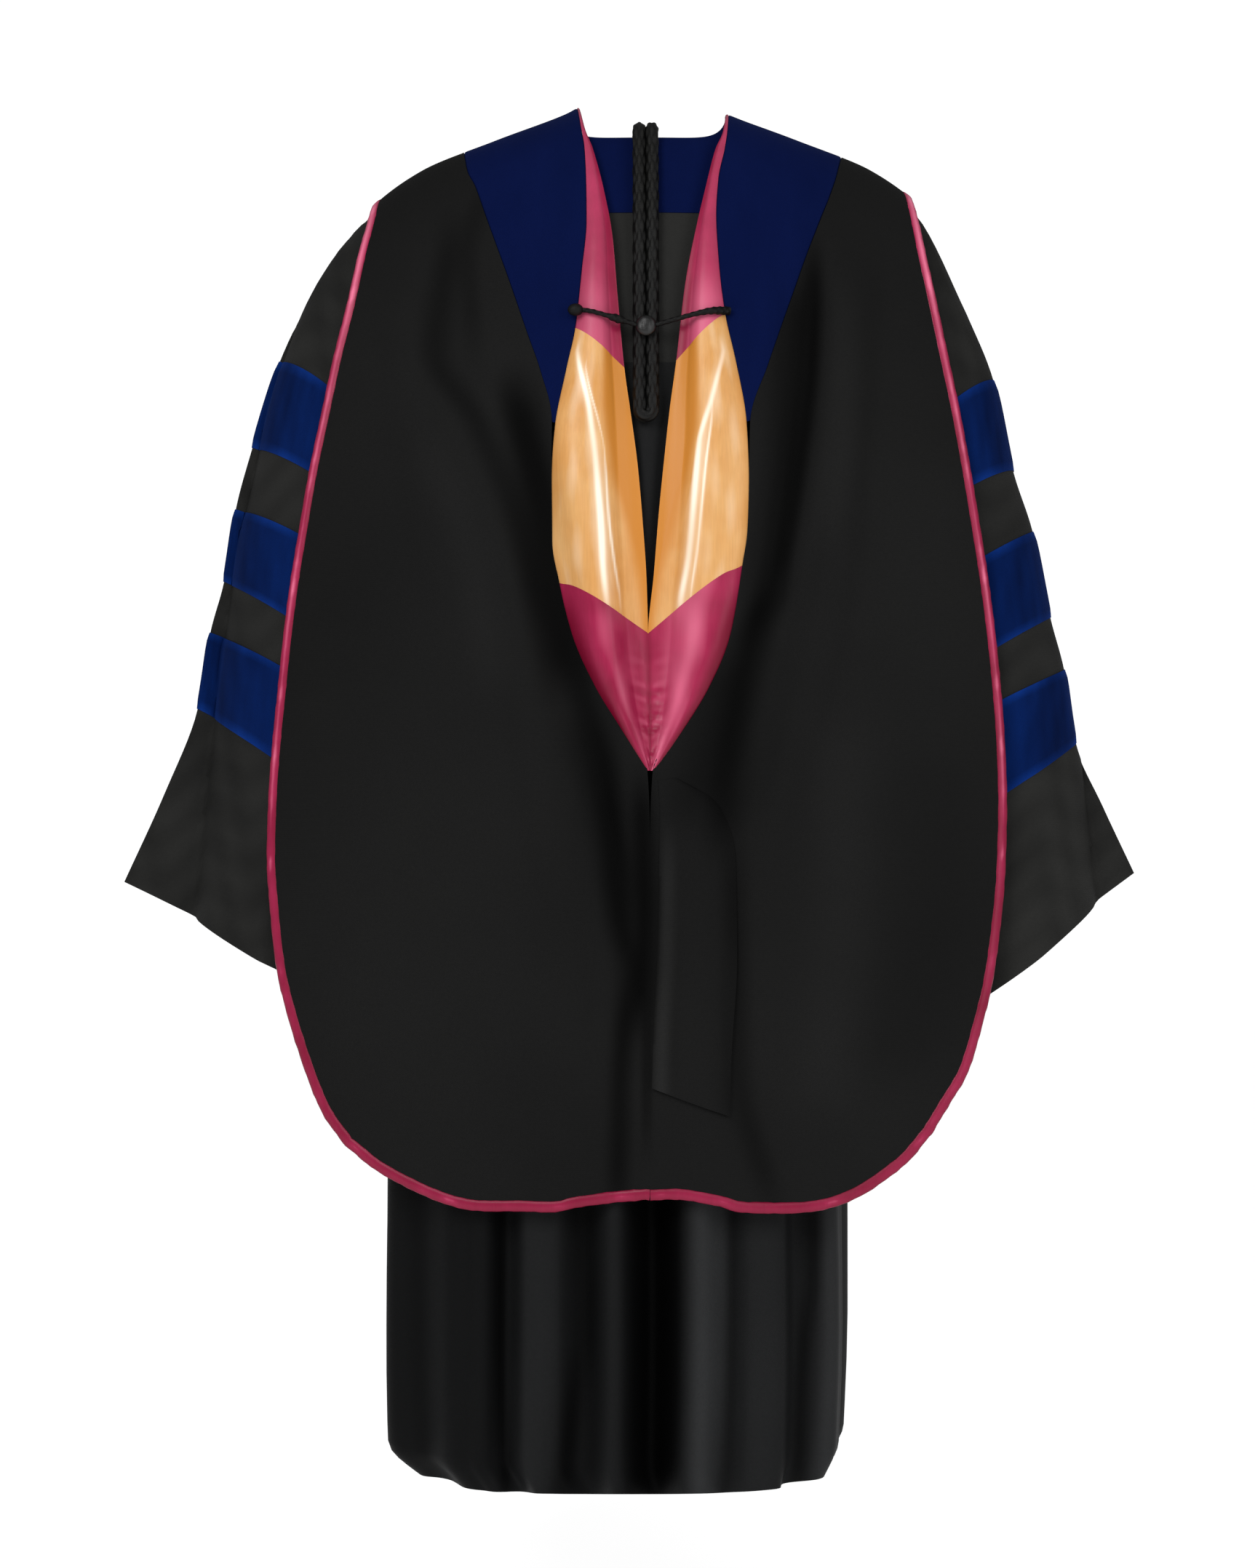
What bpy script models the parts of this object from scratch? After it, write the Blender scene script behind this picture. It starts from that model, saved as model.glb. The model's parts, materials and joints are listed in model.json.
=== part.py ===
"""Doctoral graduation gown with its hood, in the hollow form it has when it is worn.

Metres, +Z up. +X is the wearer's right, +Y the wearer's front, so the back faces -Y.
The origin is the middle of the neck opening, 20 mm below the gown's back neck edge.
"""

import math
from collections import namedtuple

import bmesh
import bpy
import numpy as np

# Cloth thicknesses, and the gap kept at every seam
GOWN_CLOTH = 0.0015
VELVET = 0.0018
SATIN = 0.0012
SEAM_GAP = 0.0004

# Gown lengths and places
HEM_Z = -1.303
# Below this the skirt draws in at both sides
HEM_TURN_Z = -1.272
YOKE_SEAM_Z = -0.213
UNDERARM_Z = -0.280
NECK_HALF_WIDTH = 0.080
NECK_POINT_Z = 0.0540
NECK_EDGE_Z = 0.0200
SHOULDER_HALF_WIDTH = 0.210
SHOULDER_TIP_Z = 0.002
FRONT_NECK_Z = -0.110
NECK_VELVET_DEPTH = 0.062
NECK_VELVET_HALF_WIDTH = 0.155
FACING_WIDTH = 0.120
CENTRE_X = 0.0022

# Mesh counts, columns by rows
YOKE_NECK_COLUMNS = 14
YOKE_ARMHOLE_COLUMNS = 5
YOKE_CROWDING = 1.7
BACK_COLUMNS = 46
FRONT_COLUMNS = 13
FACING_COLUMNS = 3
SHELL_COLUMNS = 12
VELVET_COLUMNS = 3
LINING_COLUMNS = 6

# Steps along the hood's edge between two of its rows
EDGE_STEPS = 20
EDGING_STEPS = 2

# Hood edging and cords
EDGING_HALF_WIDTH = 0.0055
EDGING_HALF_THICKNESS = 0.0019
LOOP_CORD_RADIUS = 0.0059
LOOP_CORD_SPREAD = 0.0062
LOOP_CORD_STEP = 0.013
LOOP_END_Z = -0.268
LOOP_SWELL = 0.004
HOOD_CORD_RADIUS = 0.0022
KNOT_RADIUS = 0.0066
CREST_SHARE = 0.74
CORD_REST = 0.0006
INSIDE_CORD_LENGTH = 0.018
BUTTON_RADIUS = 0.0100
BUTTON_FLATNESS = 0.55
BUTTON_Z = -0.1805
BUTTON_X = -0.0014
# Where the hood's thin cord is sewn on, at each side
LEFT_CORD_X = -0.0685
LEFT_CORD_Z = -0.1670
RIGHT_CORD_X = 0.0780
RIGHT_CORD_Z = -0.1660

GownSection = namedtuple("GownSection", "height half_width back front boxiness centre")
GOWN_SECTIONS = [
    GownSection(HEM_Z, 0.204, 0.157, 0.139, 3.2, -0.023),
    GownSection(HEM_TURN_Z, 0.228, 0.157, 0.139, 3.2, -0.031),
    GownSection(-1.150, 0.231, 0.156, 0.138, 3.2, -0.030),
    GownSection(-1.050, 0.231, 0.155, 0.137, 3.1, -0.030),
    GownSection(-0.900, 0.229, 0.152, 0.133, 3.0, -0.028),
    GownSection(-0.600, 0.226, 0.147, 0.128, 2.7, -0.012),
    GownSection(UNDERARM_Z, 0.222, 0.139, 0.121, 2.4, 0.0),
    GownSection(YOKE_SEAM_Z, 0.244, 0.133, 0.116, 2.3, 0.0),
    GownSection(-0.160, 0.260, 0.127, 0.110, 2.2, 0.0),
    GownSection(-0.100, 0.270, 0.116, 0.098, 2.1, 0.0),
    GownSection(-0.040, 0.250, 0.098, 0.086, 2.0, 0.0),
    GownSection(SHOULDER_TIP_Z, SHOULDER_HALF_WIDTH, 0.081, 0.070, 2.0, 0.0),
    GownSection(NECK_POINT_Z, NECK_HALF_WIDTH, 0.051, 0.046, 2.0, 0.0),
]

# How far the armhole's edge stands from the middle at each height
ArmholePlace = namedtuple("ArmholePlace", "height x")
ARMHOLE = [
    ArmholePlace(-0.255, 0.2140),
    ArmholePlace(YOKE_SEAM_Z, 0.1990),
    ArmholePlace(-0.150, 0.1890),
    ArmholePlace(-0.090, 0.1900),
    ArmholePlace(-0.040, 0.1985),
    ArmholePlace(SHOULDER_TIP_Z, SHOULDER_HALF_WIDTH),
]

# Folds that hang from the yoke. Place runs 0 at the middle back, 1 at a side seam, 2 at the middle front
GownFold = namedtuple("GownFold", "place half_width depth")
GOWN_FOLDS = [
    GownFold(-0.60, 0.075, 0.010),
    GownFold(-0.325, 0.040, 0.018),
    GownFold(-0.100, 0.050, 0.014),
    GownFold(0.105, 0.060, 0.032),
    GownFold(0.325, 0.045, 0.012),
    GownFold(0.565, 0.055, 0.018),
    GownFold(-0.86, 0.070, 0.008),
    GownFold(0.84, 0.070, 0.008),
    GownFold(1.16, 0.080, 0.009),
    GownFold(-1.17, 0.080, 0.010),
    GownFold(1.38, 0.080, 0.010),
    GownFold(-1.37, 0.070, 0.009),
    GownFold(1.58, 0.070, 0.007),
    GownFold(-1.57, 0.075, 0.008),
]
YOKE_GATHERS = 14
YOKE_GATHER_DEPTH = 0.0028

SleeveSection = namedtuple("SleeveSection", "outer_x outer_z inner_x inner_z slope back front")
LEFT_SLEEVE = [
    SleeveSection(0.2100, SHOULDER_TIP_Z, 0.222, -0.280, 0.30, 0.080, 0.080),
    SleeveSection(0.2810, -0.0370, 0.233, -0.288, 0.30, 0.084, 0.088),
    SleeveSection(0.3350, -0.113, 0.241, -0.296, 0.35, 0.086, 0.093),
    SleeveSection(0.3740, -0.190, 0.246, -0.306, 0.40, 0.087, 0.096),
    SleeveSection(0.4020, -0.278, 0.249, -0.380, 0.37, 0.088, 0.098),
    SleeveSection(0.4190, -0.341, 0.251, -0.440, 0.32, 0.089, 0.100),
    SleeveSection(0.4310, -0.415, 0.254, -0.530, 0.46, 0.090, 0.102),
    SleeveSection(0.4450, -0.467, 0.257, -0.575, 0.36, 0.090, 0.104),
    SleeveSection(0.4580, -0.545, 0.262, -0.670, 0.52, 0.090, 0.107),
    SleeveSection(0.4920, -0.632, 0.268, -0.765, 0.50, 0.090, 0.112),
    SleeveSection(0.5330, -0.722, 0.276, -0.852, 0.48, 0.090, 0.118),
]
RIGHT_SLEEVE = [
    SleeveSection(0.2100, SHOULDER_TIP_Z, 0.222, -0.280, 0.30, 0.080, 0.080),
    SleeveSection(0.2780, -0.0490, 0.232, -0.290, 0.30, 0.084, 0.088),
    SleeveSection(0.3250, -0.145, 0.237, -0.302, 0.32, 0.086, 0.093),
    SleeveSection(0.3530, -0.213, 0.240, -0.316, 0.32, 0.087, 0.096),
    SleeveSection(0.3730, -0.304, 0.241, -0.390, 0.30, 0.088, 0.098),
    SleeveSection(0.3930, -0.365, 0.241, -0.460, 0.45, 0.088, 0.100),
    SleeveSection(0.4110, -0.452, 0.242, -0.560, 0.46, 0.089, 0.102),
    SleeveSection(0.4250, -0.505, 0.243, -0.602, 0.38, 0.090, 0.104),
    SleeveSection(0.4370, -0.579, 0.245, -0.700, 0.62, 0.090, 0.107),
    SleeveSection(0.4660, -0.645, 0.248, -0.795, 0.66, 0.090, 0.112),
    SleeveSection(0.4980, -0.713, 0.254, -0.890, 0.74, 0.090, 0.118),
]
# Each velvet bar covers the sleeve between two of its sections
SLEEVE_BARS = [(3, 4), (5, 6), (7, 8)]
SLEEVE_FLUTES = 7
SLEEVE_FLUTE_DEPTH = 0.0075
# How much of the armhole's shape the sleeve's second ring keeps
ARMHOLE_SHARE = 0.28
HOOD_CLEARANCE = 0.0075
SHOULDER_CLEARANCE = 0.0060

HoodSection = namedtuple("HoodSection", "height half_width back front")
HOOD_SECTIONS = [
    HoodSection(-1.100, 0.500, 0.186, 0.160),
    HoodSection(-0.900, 0.475, 0.178, 0.156),
    HoodSection(-0.600, 0.445, 0.171, 0.150),
    HoodSection(-0.400, 0.420, 0.165, 0.145),
    HoodSection(-0.300, 0.400, 0.160, 0.141),
    HoodSection(-0.200, 0.375, 0.150, 0.133),
    HoodSection(-0.100, 0.335, 0.133, 0.116),
    HoodSection(-0.035, 0.280, 0.114, 0.101),
    HoodSection(0.000, 0.232, 0.100, 0.089),
    HoodSection(0.028, 0.162, 0.086, 0.075),
    HoodSection(0.058, 0.085, 0.058, 0.052),
    HoodSection(0.066, 0.071, 0.048, 0.044),
    HoodSection(0.085, 0.001, 0.030, 0.028),
]

# One row across the hood: its rim, the velvet's outer seam, the fold where velvet meets lining,
# and the lining's inner edge, each as a distance from the middle and a height
HoodRow = namedtuple("HoodRow", "side rim_x rim_z seam_x seam_z fold_x fold_z core_x core_z")
FRONT_ROWS = [
    HoodRow(-1, 0.0000, -0.290, 0.0000, -0.262, 0.0000, -0.175, 0.0, 0.0),
    HoodRow(-1, 0.0660, -0.243, 0.0500, -0.215, 0.0240, -0.125, 0.0, 0.0),
    HoodRow(-1, 0.1400, -0.170, 0.1050, -0.135, 0.0460, -0.065, 0.0, 0.0),
    HoodRow(-1, 0.2150, -0.100, 0.1520, -0.055, 0.0620, -0.005, 0.0, 0.0),
]
LEFT_ROWS = FRONT_ROWS + [
    HoodRow(0, 0.2720, 0.000, 0.1850, 0.000, 0.0705, 0.000, 0.0690, 0.000),
    HoodRow(1, 0.2760, -0.058, 0.1785, -0.012, 0.0660, 0.035, 0.0625, 0.033),
    HoodRow(1, 0.2830, -0.095, 0.1700, -0.031, 0.0615, 0.005, 0.0530, 0.003),
    HoodRow(1, 0.2930, -0.148, 0.1600, -0.060, 0.0595, -0.035, 0.0425, -0.040),
    HoodRow(1, 0.3050, -0.199, 0.1490, -0.091, 0.0590, -0.075, 0.0340, -0.088),
    HoodRow(1, 0.3170, -0.258, 0.1310, -0.142, 0.0635, -0.125, 0.0290, -0.148),
    HoodRow(1, 0.3290, -0.316, 0.1165, -0.185, 0.0695, -0.182, 0.0225, -0.219),
    HoodRow(1, 0.3380, -0.370, 0.1030, -0.224, 0.0780, -0.222, 0.0165, -0.262),
    HoodRow(1, 0.3470, -0.425, 0.0915, -0.274, 0.0880, -0.275, 0.0095, -0.315),
    HoodRow(1, 0.3540, -0.480, 0.0925, -0.335, 0.0925, -0.335, 0.0045, -0.372),
    HoodRow(1, 0.3590, -0.530, 0.0925, -0.386, 0.0925, -0.386, 0.0010, -0.425),
    HoodRow(1, 0.3635, -0.575, 0.0855, -0.428, 0.0855, -0.428, 0.0, -0.477),
    HoodRow(1, 0.3675, -0.630, 0.0730, -0.480, 0.0730, -0.480, 0.0, -0.515),
    HoodRow(1, 0.3690, -0.690, 0.0530, -0.526, 0.0530, -0.526, 0.0, -0.550),
    HoodRow(1, 0.3650, -0.745, 0.0280, -0.568, 0.0280, -0.568, 0.0, -0.582),
    HoodRow(1, 0.3580, -0.800, 0.0025, -0.609, 0.0025, -0.609, 0.0, -0.609),
    HoodRow(1, 0.3470, -0.843, 0.0, -0.680, 0.0, 0.0, 0.0, 0.0),
    HoodRow(1, 0.3280, -0.898, 0.0, -0.780, 0.0, 0.0, 0.0, 0.0),
    HoodRow(1, 0.3100, -0.938, 0.0, -0.890, 0.0, 0.0, 0.0, 0.0),
    HoodRow(1, 0.2880, -0.967, 0.0, -1.0115, 0.0, 0.0, 0.0, 0.0),
]
RIGHT_ROWS = FRONT_ROWS + [
    HoodRow(0, 0.2620, 0.000, 0.1980, 0.000, 0.0830, 0.000, 0.0810, 0.000),
    HoodRow(1, 0.2665, -0.050, 0.1900, -0.012, 0.0800, 0.030, 0.0760, 0.028),
    HoodRow(1, 0.2715, -0.090, 0.1810, -0.040, 0.0765, 0.005, 0.0670, 0.003),
    HoodRow(1, 0.2810, -0.142, 0.1700, -0.068, 0.0695, -0.030, 0.0575, -0.036),
    HoodRow(1, 0.2910, -0.195, 0.1580, -0.100, 0.0670, -0.070, 0.0475, -0.080),
    HoodRow(1, 0.3030, -0.255, 0.1420, -0.145, 0.0695, -0.120, 0.0370, -0.135),
    HoodRow(1, 0.3130, -0.312, 0.1300, -0.178, 0.0750, -0.168, 0.0280, -0.212),
    HoodRow(1, 0.3215, -0.365, 0.1150, -0.220, 0.0850, -0.215, 0.0215, -0.260),
    HoodRow(1, 0.3300, -0.420, 0.0980, -0.273, 0.0945, -0.274, 0.0165, -0.305),
    HoodRow(1, 0.3370, -0.475, 0.0965, -0.330, 0.0965, -0.330, 0.0105, -0.365),
    HoodRow(1, 0.3420, -0.525, 0.0950, -0.378, 0.0950, -0.378, 0.0060, -0.420),
    HoodRow(1, 0.3455, -0.573, 0.0900, -0.413, 0.0900, -0.413, 0.0, -0.477),
    HoodRow(1, 0.3475, -0.637, 0.0765, -0.484, 0.0765, -0.484, 0.0, -0.515),
    HoodRow(1, 0.3450, -0.708, 0.0580, -0.527, 0.0580, -0.527, 0.0, -0.550),
    HoodRow(1, 0.3390, -0.765, 0.0330, -0.568, 0.0330, -0.568, 0.0, -0.582),
    HoodRow(1, 0.3310, -0.814, 0.0025, -0.609, 0.0025, -0.609, 0.0, -0.609),
    HoodRow(1, 0.3210, -0.852, 0.0, -0.680, 0.0, 0.0, 0.0, 0.0),
    HoodRow(1, 0.3060, -0.898, 0.0, -0.780, 0.0, 0.0, 0.0, 0.0),
    HoodRow(1, 0.2880, -0.927, 0.0, -0.890, 0.0, 0.0, 0.0, 0.0),
    HoodRow(1, 0.2700, -0.955, 0.0, -1.0115, 0.0, 0.0, 0.0, 0.0),
]
RIDGE_ROW = 4
SATIN_SEAM_ROW = 10
VELVET_LAST_ROW = 12
GOLD_LAST_ROW = 15
LINING_LAST_ROW = 19
# Extra rows where the hood bends over the shoulder
SHOULDER_ROWS = [2.5, 3.3, 3.6, 3.8, 3.9, 4.1, 4.25, 4.5, 4.75, 5.5]

# The hood's lower edge, from its round corner to the middle
HemPlace = namedtuple("HemPlace", "x z")
LEFT_HOOD_HEM = [
    HemPlace(0.2880, -0.967),
    HemPlace(0.2590, -0.988),
    HemPlace(0.2160, -1.009),
    HemPlace(0.1670, -1.023),
    HemPlace(0.1200, -1.023),
    HemPlace(0.0700, -1.019),
    HemPlace(0.0300, -1.014),
    HemPlace(0.0, -1.0115),
]
RIGHT_HOOD_HEM = [
    HemPlace(0.2700, -0.955),
    HemPlace(0.2450, -0.982),
    HemPlace(0.2010, -1.011),
    HemPlace(0.1550, -1.024),
    HemPlace(0.1100, -1.025),
    HemPlace(0.0700, -1.018),
    HemPlace(0.0300, -1.011),
    HemPlace(0.0, -1.0115),
]

# Soft troughs in the hood's black panel, each down through three places
HoodFold = namedtuple("HoodFold", "top_x top_z mid_x mid_z end_x end_z half_width depth")
HOOD_FOLDS = [
    HoodFold(-0.203, -0.100, -0.178, -0.290, -0.135, -0.480, 0.024, 0.006),
    HoodFold(-0.135, -0.250, -0.082, -0.470, -0.030, -0.760, 0.024, 0.010),
    HoodFold(0.164, -0.100, 0.140, -0.400, 0.078, -0.670, 0.022, 0.010),
    HoodFold(0.003, -0.660, 0.000, -0.790, -0.002, -0.930, 0.022, 0.010),
    HoodFold(-0.040, -0.860, -0.036, -0.940, -0.034, -1.020, 0.024, 0.006),
    HoodFold(0.084, -0.870, 0.100, -0.940, 0.118, -1.020, 0.026, 0.006),
]

# The hood's tail strip hangs over its middle: left edge, right edge
TailRow = namedtuple("TailRow", "left_x left_z right_x right_z")
TAIL_ROWS = [
    TailRow(0.0100, -0.618, 0.0280, -0.616),
    TailRow(0.0114, -0.650, 0.0700, -0.644),
    TailRow(0.0110, -0.700, 0.0840, -0.694),
    TailRow(0.0095, -0.778, 0.0850, -0.786),
    TailRow(0.0055, -0.860, 0.0800, -0.874),
    TailRow(0.0040, -0.911, 0.0780, -0.938),
]
TAIL_LIFT = 0.0018
TAIL_REST = 0.0050

LINING_BULGE = 0.0110
LINING_TURN = 0.0075

# Colour, roughness and metallic value of each kind of cloth
Finish = namedtuple("Finish", "colour roughness metallic")
FINISHES = {
    "gown_cloth": Finish((0.012, 0.012, 0.013), 0.80, 0.0),
    "velvet": Finish((0.004, 0.012, 0.130), 0.90, 0.0),
    "pink_satin": Finish((0.480, 0.040, 0.130), 0.35, 0.0),
    "gold_satin": Finish((0.860, 0.480, 0.160), 0.28, 0.0),
    "black_cord": Finish((0.008, 0.008, 0.008), 0.55, 0.0),
}


def clear_scene():
    for item in list(bpy.data.objects):
        bpy.data.objects.remove(item, do_unlink=True)


def make_materials():
    made = {}
    for name, finish in FINISHES.items():
        material = bpy.data.materials.new(name)
        material.use_nodes = True
        shader = material.node_tree.nodes["Principled BSDF"]
        shader.inputs["Base Color"].default_value = (*finish.colour, 1.0)
        shader.inputs["Roughness"].default_value = finish.roughness
        shader.inputs["Metallic"].default_value = finish.metallic
        made[name] = material
    return made


def smooth_curve(places, values):
    """A smooth function through the values that never overshoots between two of them."""
    places = np.asarray(places, float)
    values = np.asarray(values, float)
    steps = np.diff(values) / np.diff(places)
    slopes = np.zeros_like(values)
    slopes[0] = steps[0]
    slopes[-1] = steps[-1]
    for i in range(1, len(values) - 1):
        if steps[i - 1] * steps[i] > 0:
            slopes[i] = 2 * steps[i - 1] * steps[i] / (steps[i - 1] + steps[i])

    def read(place):
        place = np.clip(place, places[0], places[-1])
        i = np.clip(np.searchsorted(places, place, side="right") - 1, 0, len(places) - 2)
        width = places[i + 1] - places[i]
        t = (place - places[i]) / width
        rise = 2 * t**3 - 3 * t**2
        return (
            values[i] * (rise + 1)
            - values[i + 1] * rise
            + slopes[i] * width * (t**3 - 2 * t**2 + t)
            + slopes[i + 1] * width * (t**3 - t**2)
        )

    return read


def column(rows, name):
    return np.array([getattr(row, name) for row in rows], float)


def section_curves(sections):
    heights = column(sections, "height")
    names = [name for name in sections[0]._fields if name != "height"]
    return {name: smooth_curve(heights, column(sections, name)) for name in names}


GOWN = section_curves(GOWN_SECTIONS)
HOOD = section_curves(HOOD_SECTIONS)
ARMHOLE_X = smooth_curve(column(ARMHOLE, "height"), column(ARMHOLE, "x"))
RIDGE_HEIGHTS = np.linspace(0.085, -0.6, 2000)
RIDGE_WIDTHS = HOOD["half_width"](RIDGE_HEIGHTS)


def unit(vectors):
    length = np.linalg.norm(vectors, axis=-1, keepdims=True)
    return vectors / np.maximum(length, 1e-12)


def bump(distance):
    """A soft rounded ridge of height 1 that ends at distance 1."""
    near = np.clip(np.abs(distance), 0, 1)
    return np.cos(near * math.pi / 2) ** 2


def ease(start, end, value):
    t = np.clip((value - start) / (end - start), 0, 1)
    return t * t * (3 - 2 * t)


def shell_depth(curves, x, z, side):
    """How far a section stands from the X axis at x: side is 1 at the back and -1 in front."""
    power = curves["boxiness"](z) if "boxiness" in curves else 2.0
    centre = curves["centre"](z) if "centre" in curves else 0.0
    depth = np.where(side > 0, curves["back"](z), curves["front"](z))
    share = np.clip(np.abs(x - centre) / curves["half_width"](z), 0, 1)
    return -side * depth * (1 - share**power) ** (1 / power)


def shell_normal(curves, x, z, side):
    """The outward direction of a section at x, from the change in its own formula."""
    step = 1e-4

    def level(at_x, at_y, at_z):
        power = curves["boxiness"](at_z) if "boxiness" in curves else 2.0
        centre = curves["centre"](at_z) if "centre" in curves else 0.0
        depth = np.where(side > 0, curves["back"](at_z), curves["front"](at_z))
        across = np.abs(at_x - centre) / curves["half_width"](at_z)
        return across**power + (np.abs(at_y) / depth) ** power

    y = shell_depth(curves, x, z, side)
    along_x = level(x + step, y, z) - level(x - step, y, z)
    along_y = level(x, y + step, z) - level(x, y - step, z)
    along_z = level(x, y, z + step) - level(x, y, z - step)
    return unit(np.stack([along_x, along_y, along_z], axis=-1))


def gown_ridge(x):
    """Height of the shoulder line above x."""
    share = (np.clip(np.abs(x), NECK_HALF_WIDTH, SHOULDER_HALF_WIDTH) - NECK_HALF_WIDTH) / (
        SHOULDER_HALF_WIDTH - NECK_HALF_WIDTH
    )
    return NECK_POINT_Z + (SHOULDER_TIP_Z - NECK_POINT_Z) * share


def gown_drop(x, z):
    """0 on the shoulder line and 1 at the hem, spaced closer near the shoulder."""
    ridge = gown_ridge(x)
    return np.sqrt(np.clip((ridge - z) / (ridge - HEM_Z), 0, 1))


def gown_height(x, drop):
    ridge = gown_ridge(x)
    return ridge - drop**2 * (ridge - HEM_Z)


def gown_folds(place, z):
    """Height of the folds: the yoke's gathers, and larger folds that deepen to the hem."""
    depth = np.zeros(np.broadcast(place, z).shape)
    grown = ease(YOKE_SEAM_Z, -1.10, z)
    for fold in GOWN_FOLDS:
        depth = depth - fold.depth * grown * bump((place - fold.place) / (fold.half_width * 1.5))
        depth = depth + 0.35 * fold.depth * grown * bump(
            (np.abs(place - fold.place) - fold.half_width * 1.8) / (fold.half_width * 1.2)
        )
    gather = np.cos(place * YOKE_GATHERS * math.pi) * YOKE_GATHER_DEPTH
    held = ease(YOKE_SEAM_Z, YOKE_SEAM_Z - 0.06, z) * (1 - ease(-0.35, -1.0, z))
    held = held * (1 - ease(0.75, 0.95, np.abs(place)))
    return depth + gather * held


def gown_point(x, z, side, place=None, lift=0.0):
    """Points of the gown's cloth and their outward directions."""
    y = shell_depth(GOWN, x, z, side)
    normal = shell_normal(GOWN, x, z, side)
    point = np.stack([x, y, z], axis=-1)
    if place is not None:
        near_seam = 1 - ease(0.93, 1.0, 1 - np.abs(np.abs(place) - 1))
        near_middle = ease(0.0, 0.35, 2 - np.abs(place))
        lift = lift + gown_folds(place, z) * near_seam * near_middle
    point = point + normal * np.asarray(lift)[..., None]
    return point, normal


def spread(x_of, count, first, last, shares=None):
    """Even steps along a path, given its points for any share of the way from first to last."""
    fine = np.linspace(0, 1, 160)
    bent = np.sin(fine * math.pi / 2)
    x = first + (last - first) * bent
    points = x_of(x)
    lengths = np.concatenate([[0], np.cumsum(np.linalg.norm(np.diff(points, axis=0), axis=1))])
    if shares is None:
        shares = np.linspace(0, 1, count + 1)
    return np.interp(shares * lengths[-1], lengths, x), lengths[-1]


def neck_edge(turn):
    """The gown's back neck edge, from the left neck point to the right one, as x and drop."""
    x = NECK_HALF_WIDTH * np.sin(turn * math.pi / 2) * (1 - 0.12 * (1 - turn**2))
    height = NECK_EDGE_Z + (NECK_POINT_Z - NECK_EDGE_Z) * np.abs(turn) ** 5
    drop = gown_drop(x, height)
    drop[0] = 0.0
    drop[-1] = 0.0
    return np.stack([x, drop], axis=-1)


def yoke_grid():
    """Rows run from the neck edge to the velvet's lower edge, then to armhole and yoke seam."""
    count = YOKE_NECK_COLUMNS + 2 * YOKE_ARMHOLE_COLUMNS
    turn = np.linspace(-1, 1, count + 1)
    seam_turn = 1 - (1 - YOKE_NECK_COLUMNS / count) ** YOKE_CROWDING
    turn = np.sign(turn) * (1 - (1 - np.abs(turn)) ** YOKE_CROWDING)
    inner = neck_edge(turn)
    middle_x = NECK_VELVET_HALF_WIDTH * np.sin(turn * math.pi / 2)
    side_z = gown_ridge(np.array(NECK_VELVET_HALF_WIDTH))
    middle_z = -NECK_VELVET_DEPTH + (side_z + NECK_VELVET_DEPTH) * np.abs(turn) ** 5
    middle = np.stack([middle_x, gown_drop(middle_x, middle_z)], axis=-1)
    armhole_z = SHOULDER_TIP_Z + (YOKE_SEAM_Z - SHOULDER_TIP_Z) * np.clip(
        (1 - np.abs(turn)) / (1 - seam_turn), 0, 1
    )
    outer_x = np.sign(turn) * ARMHOLE_X(armhole_z)
    on_seam = np.abs(turn) <= seam_turn + 1e-9
    outer_x[on_seam] = turn[on_seam] / seam_turn * ARMHOLE_X(YOKE_SEAM_Z)
    outer = np.stack([outer_x, gown_drop(outer_x, armhole_z)], axis=-1)
    rows = [inner + (middle - inner) * share for share in (0, 0.5, 1)]
    rows += [middle + (outer - middle) * share for share in (0.34, 0.67, 1)]
    table = np.array(rows)
    x = table[..., 0]
    z = gown_height(x, table[..., 1])
    return gown_point(x, z, np.array(1.0))


def front_rows():
    """Drops of the front panel's rows, close together over the shoulder."""
    upper = np.linspace(0, math.sqrt((SHOULDER_TIP_Z - UNDERARM_Z) / (SHOULDER_TIP_Z - HEM_Z)), 8)
    lower = np.linspace(upper[-1], 1, 8)[1:]
    turn = math.sqrt((SHOULDER_TIP_Z - HEM_TURN_Z) / (SHOULDER_TIP_Z - HEM_Z))
    return np.concatenate([upper, lower[:-1], [turn, 1]])


def lower_heights():
    """Heights of the rows that the side seams share."""
    drops = front_rows()
    return SHOULDER_TIP_Z - drops**2 * (SHOULDER_TIP_Z - HEM_Z)


def side_limit(z):
    """Distance of the armhole or side seam from the section's middle."""
    half = GOWN["half_width"](z)
    return np.where(z > UNDERARM_Z + 1e-6, np.minimum(ARMHOLE_X(z), half), half)


def back_grid():
    """Rows of the gathered back, level from the yoke seam to the hem."""
    heights = [YOKE_SEAM_Z, -0.247] + [z for z in lower_heights() if z < UNDERARM_Z + 1e-6]
    rows = []
    places = []
    for z in heights:
        half = GOWN["half_width"](z)
        centre = float(GOWN["centre"](z))
        limit = float(side_limit(np.array(z)))

        def ring(x):
            level = np.full_like(x, z)
            return np.stack([x, shell_depth(GOWN, x, level, np.array(1.0)), level], axis=-1)

        _, whole = spread(ring, 1, centre, centre + float(half))
        side_x, length = spread(ring, BACK_COLUMNS // 2, centre, centre + limit)
        offsets = side_x - centre
        rows.append(np.concatenate([centre - offsets[::-1], (centre + offsets)[1:]]))
        share = np.linspace(-1, 1, BACK_COLUMNS + 1) * length / whole
        places.append(share)
    x = np.array(rows)
    z = np.repeat(np.array(heights)[:, None], x.shape[1], axis=1)
    return gown_point(x, z, np.array(1.0), np.array(places))


def neck_front_x(z):
    """Distance of the front's inner edge from the middle: the neck's V, then the centre front."""
    share = np.clip((z - FRONT_NECK_Z) / (NECK_POINT_Z - FRONT_NECK_Z), 0, 1)
    return np.maximum(NECK_HALF_WIDTH * share**0.85, 0.0006)


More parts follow.
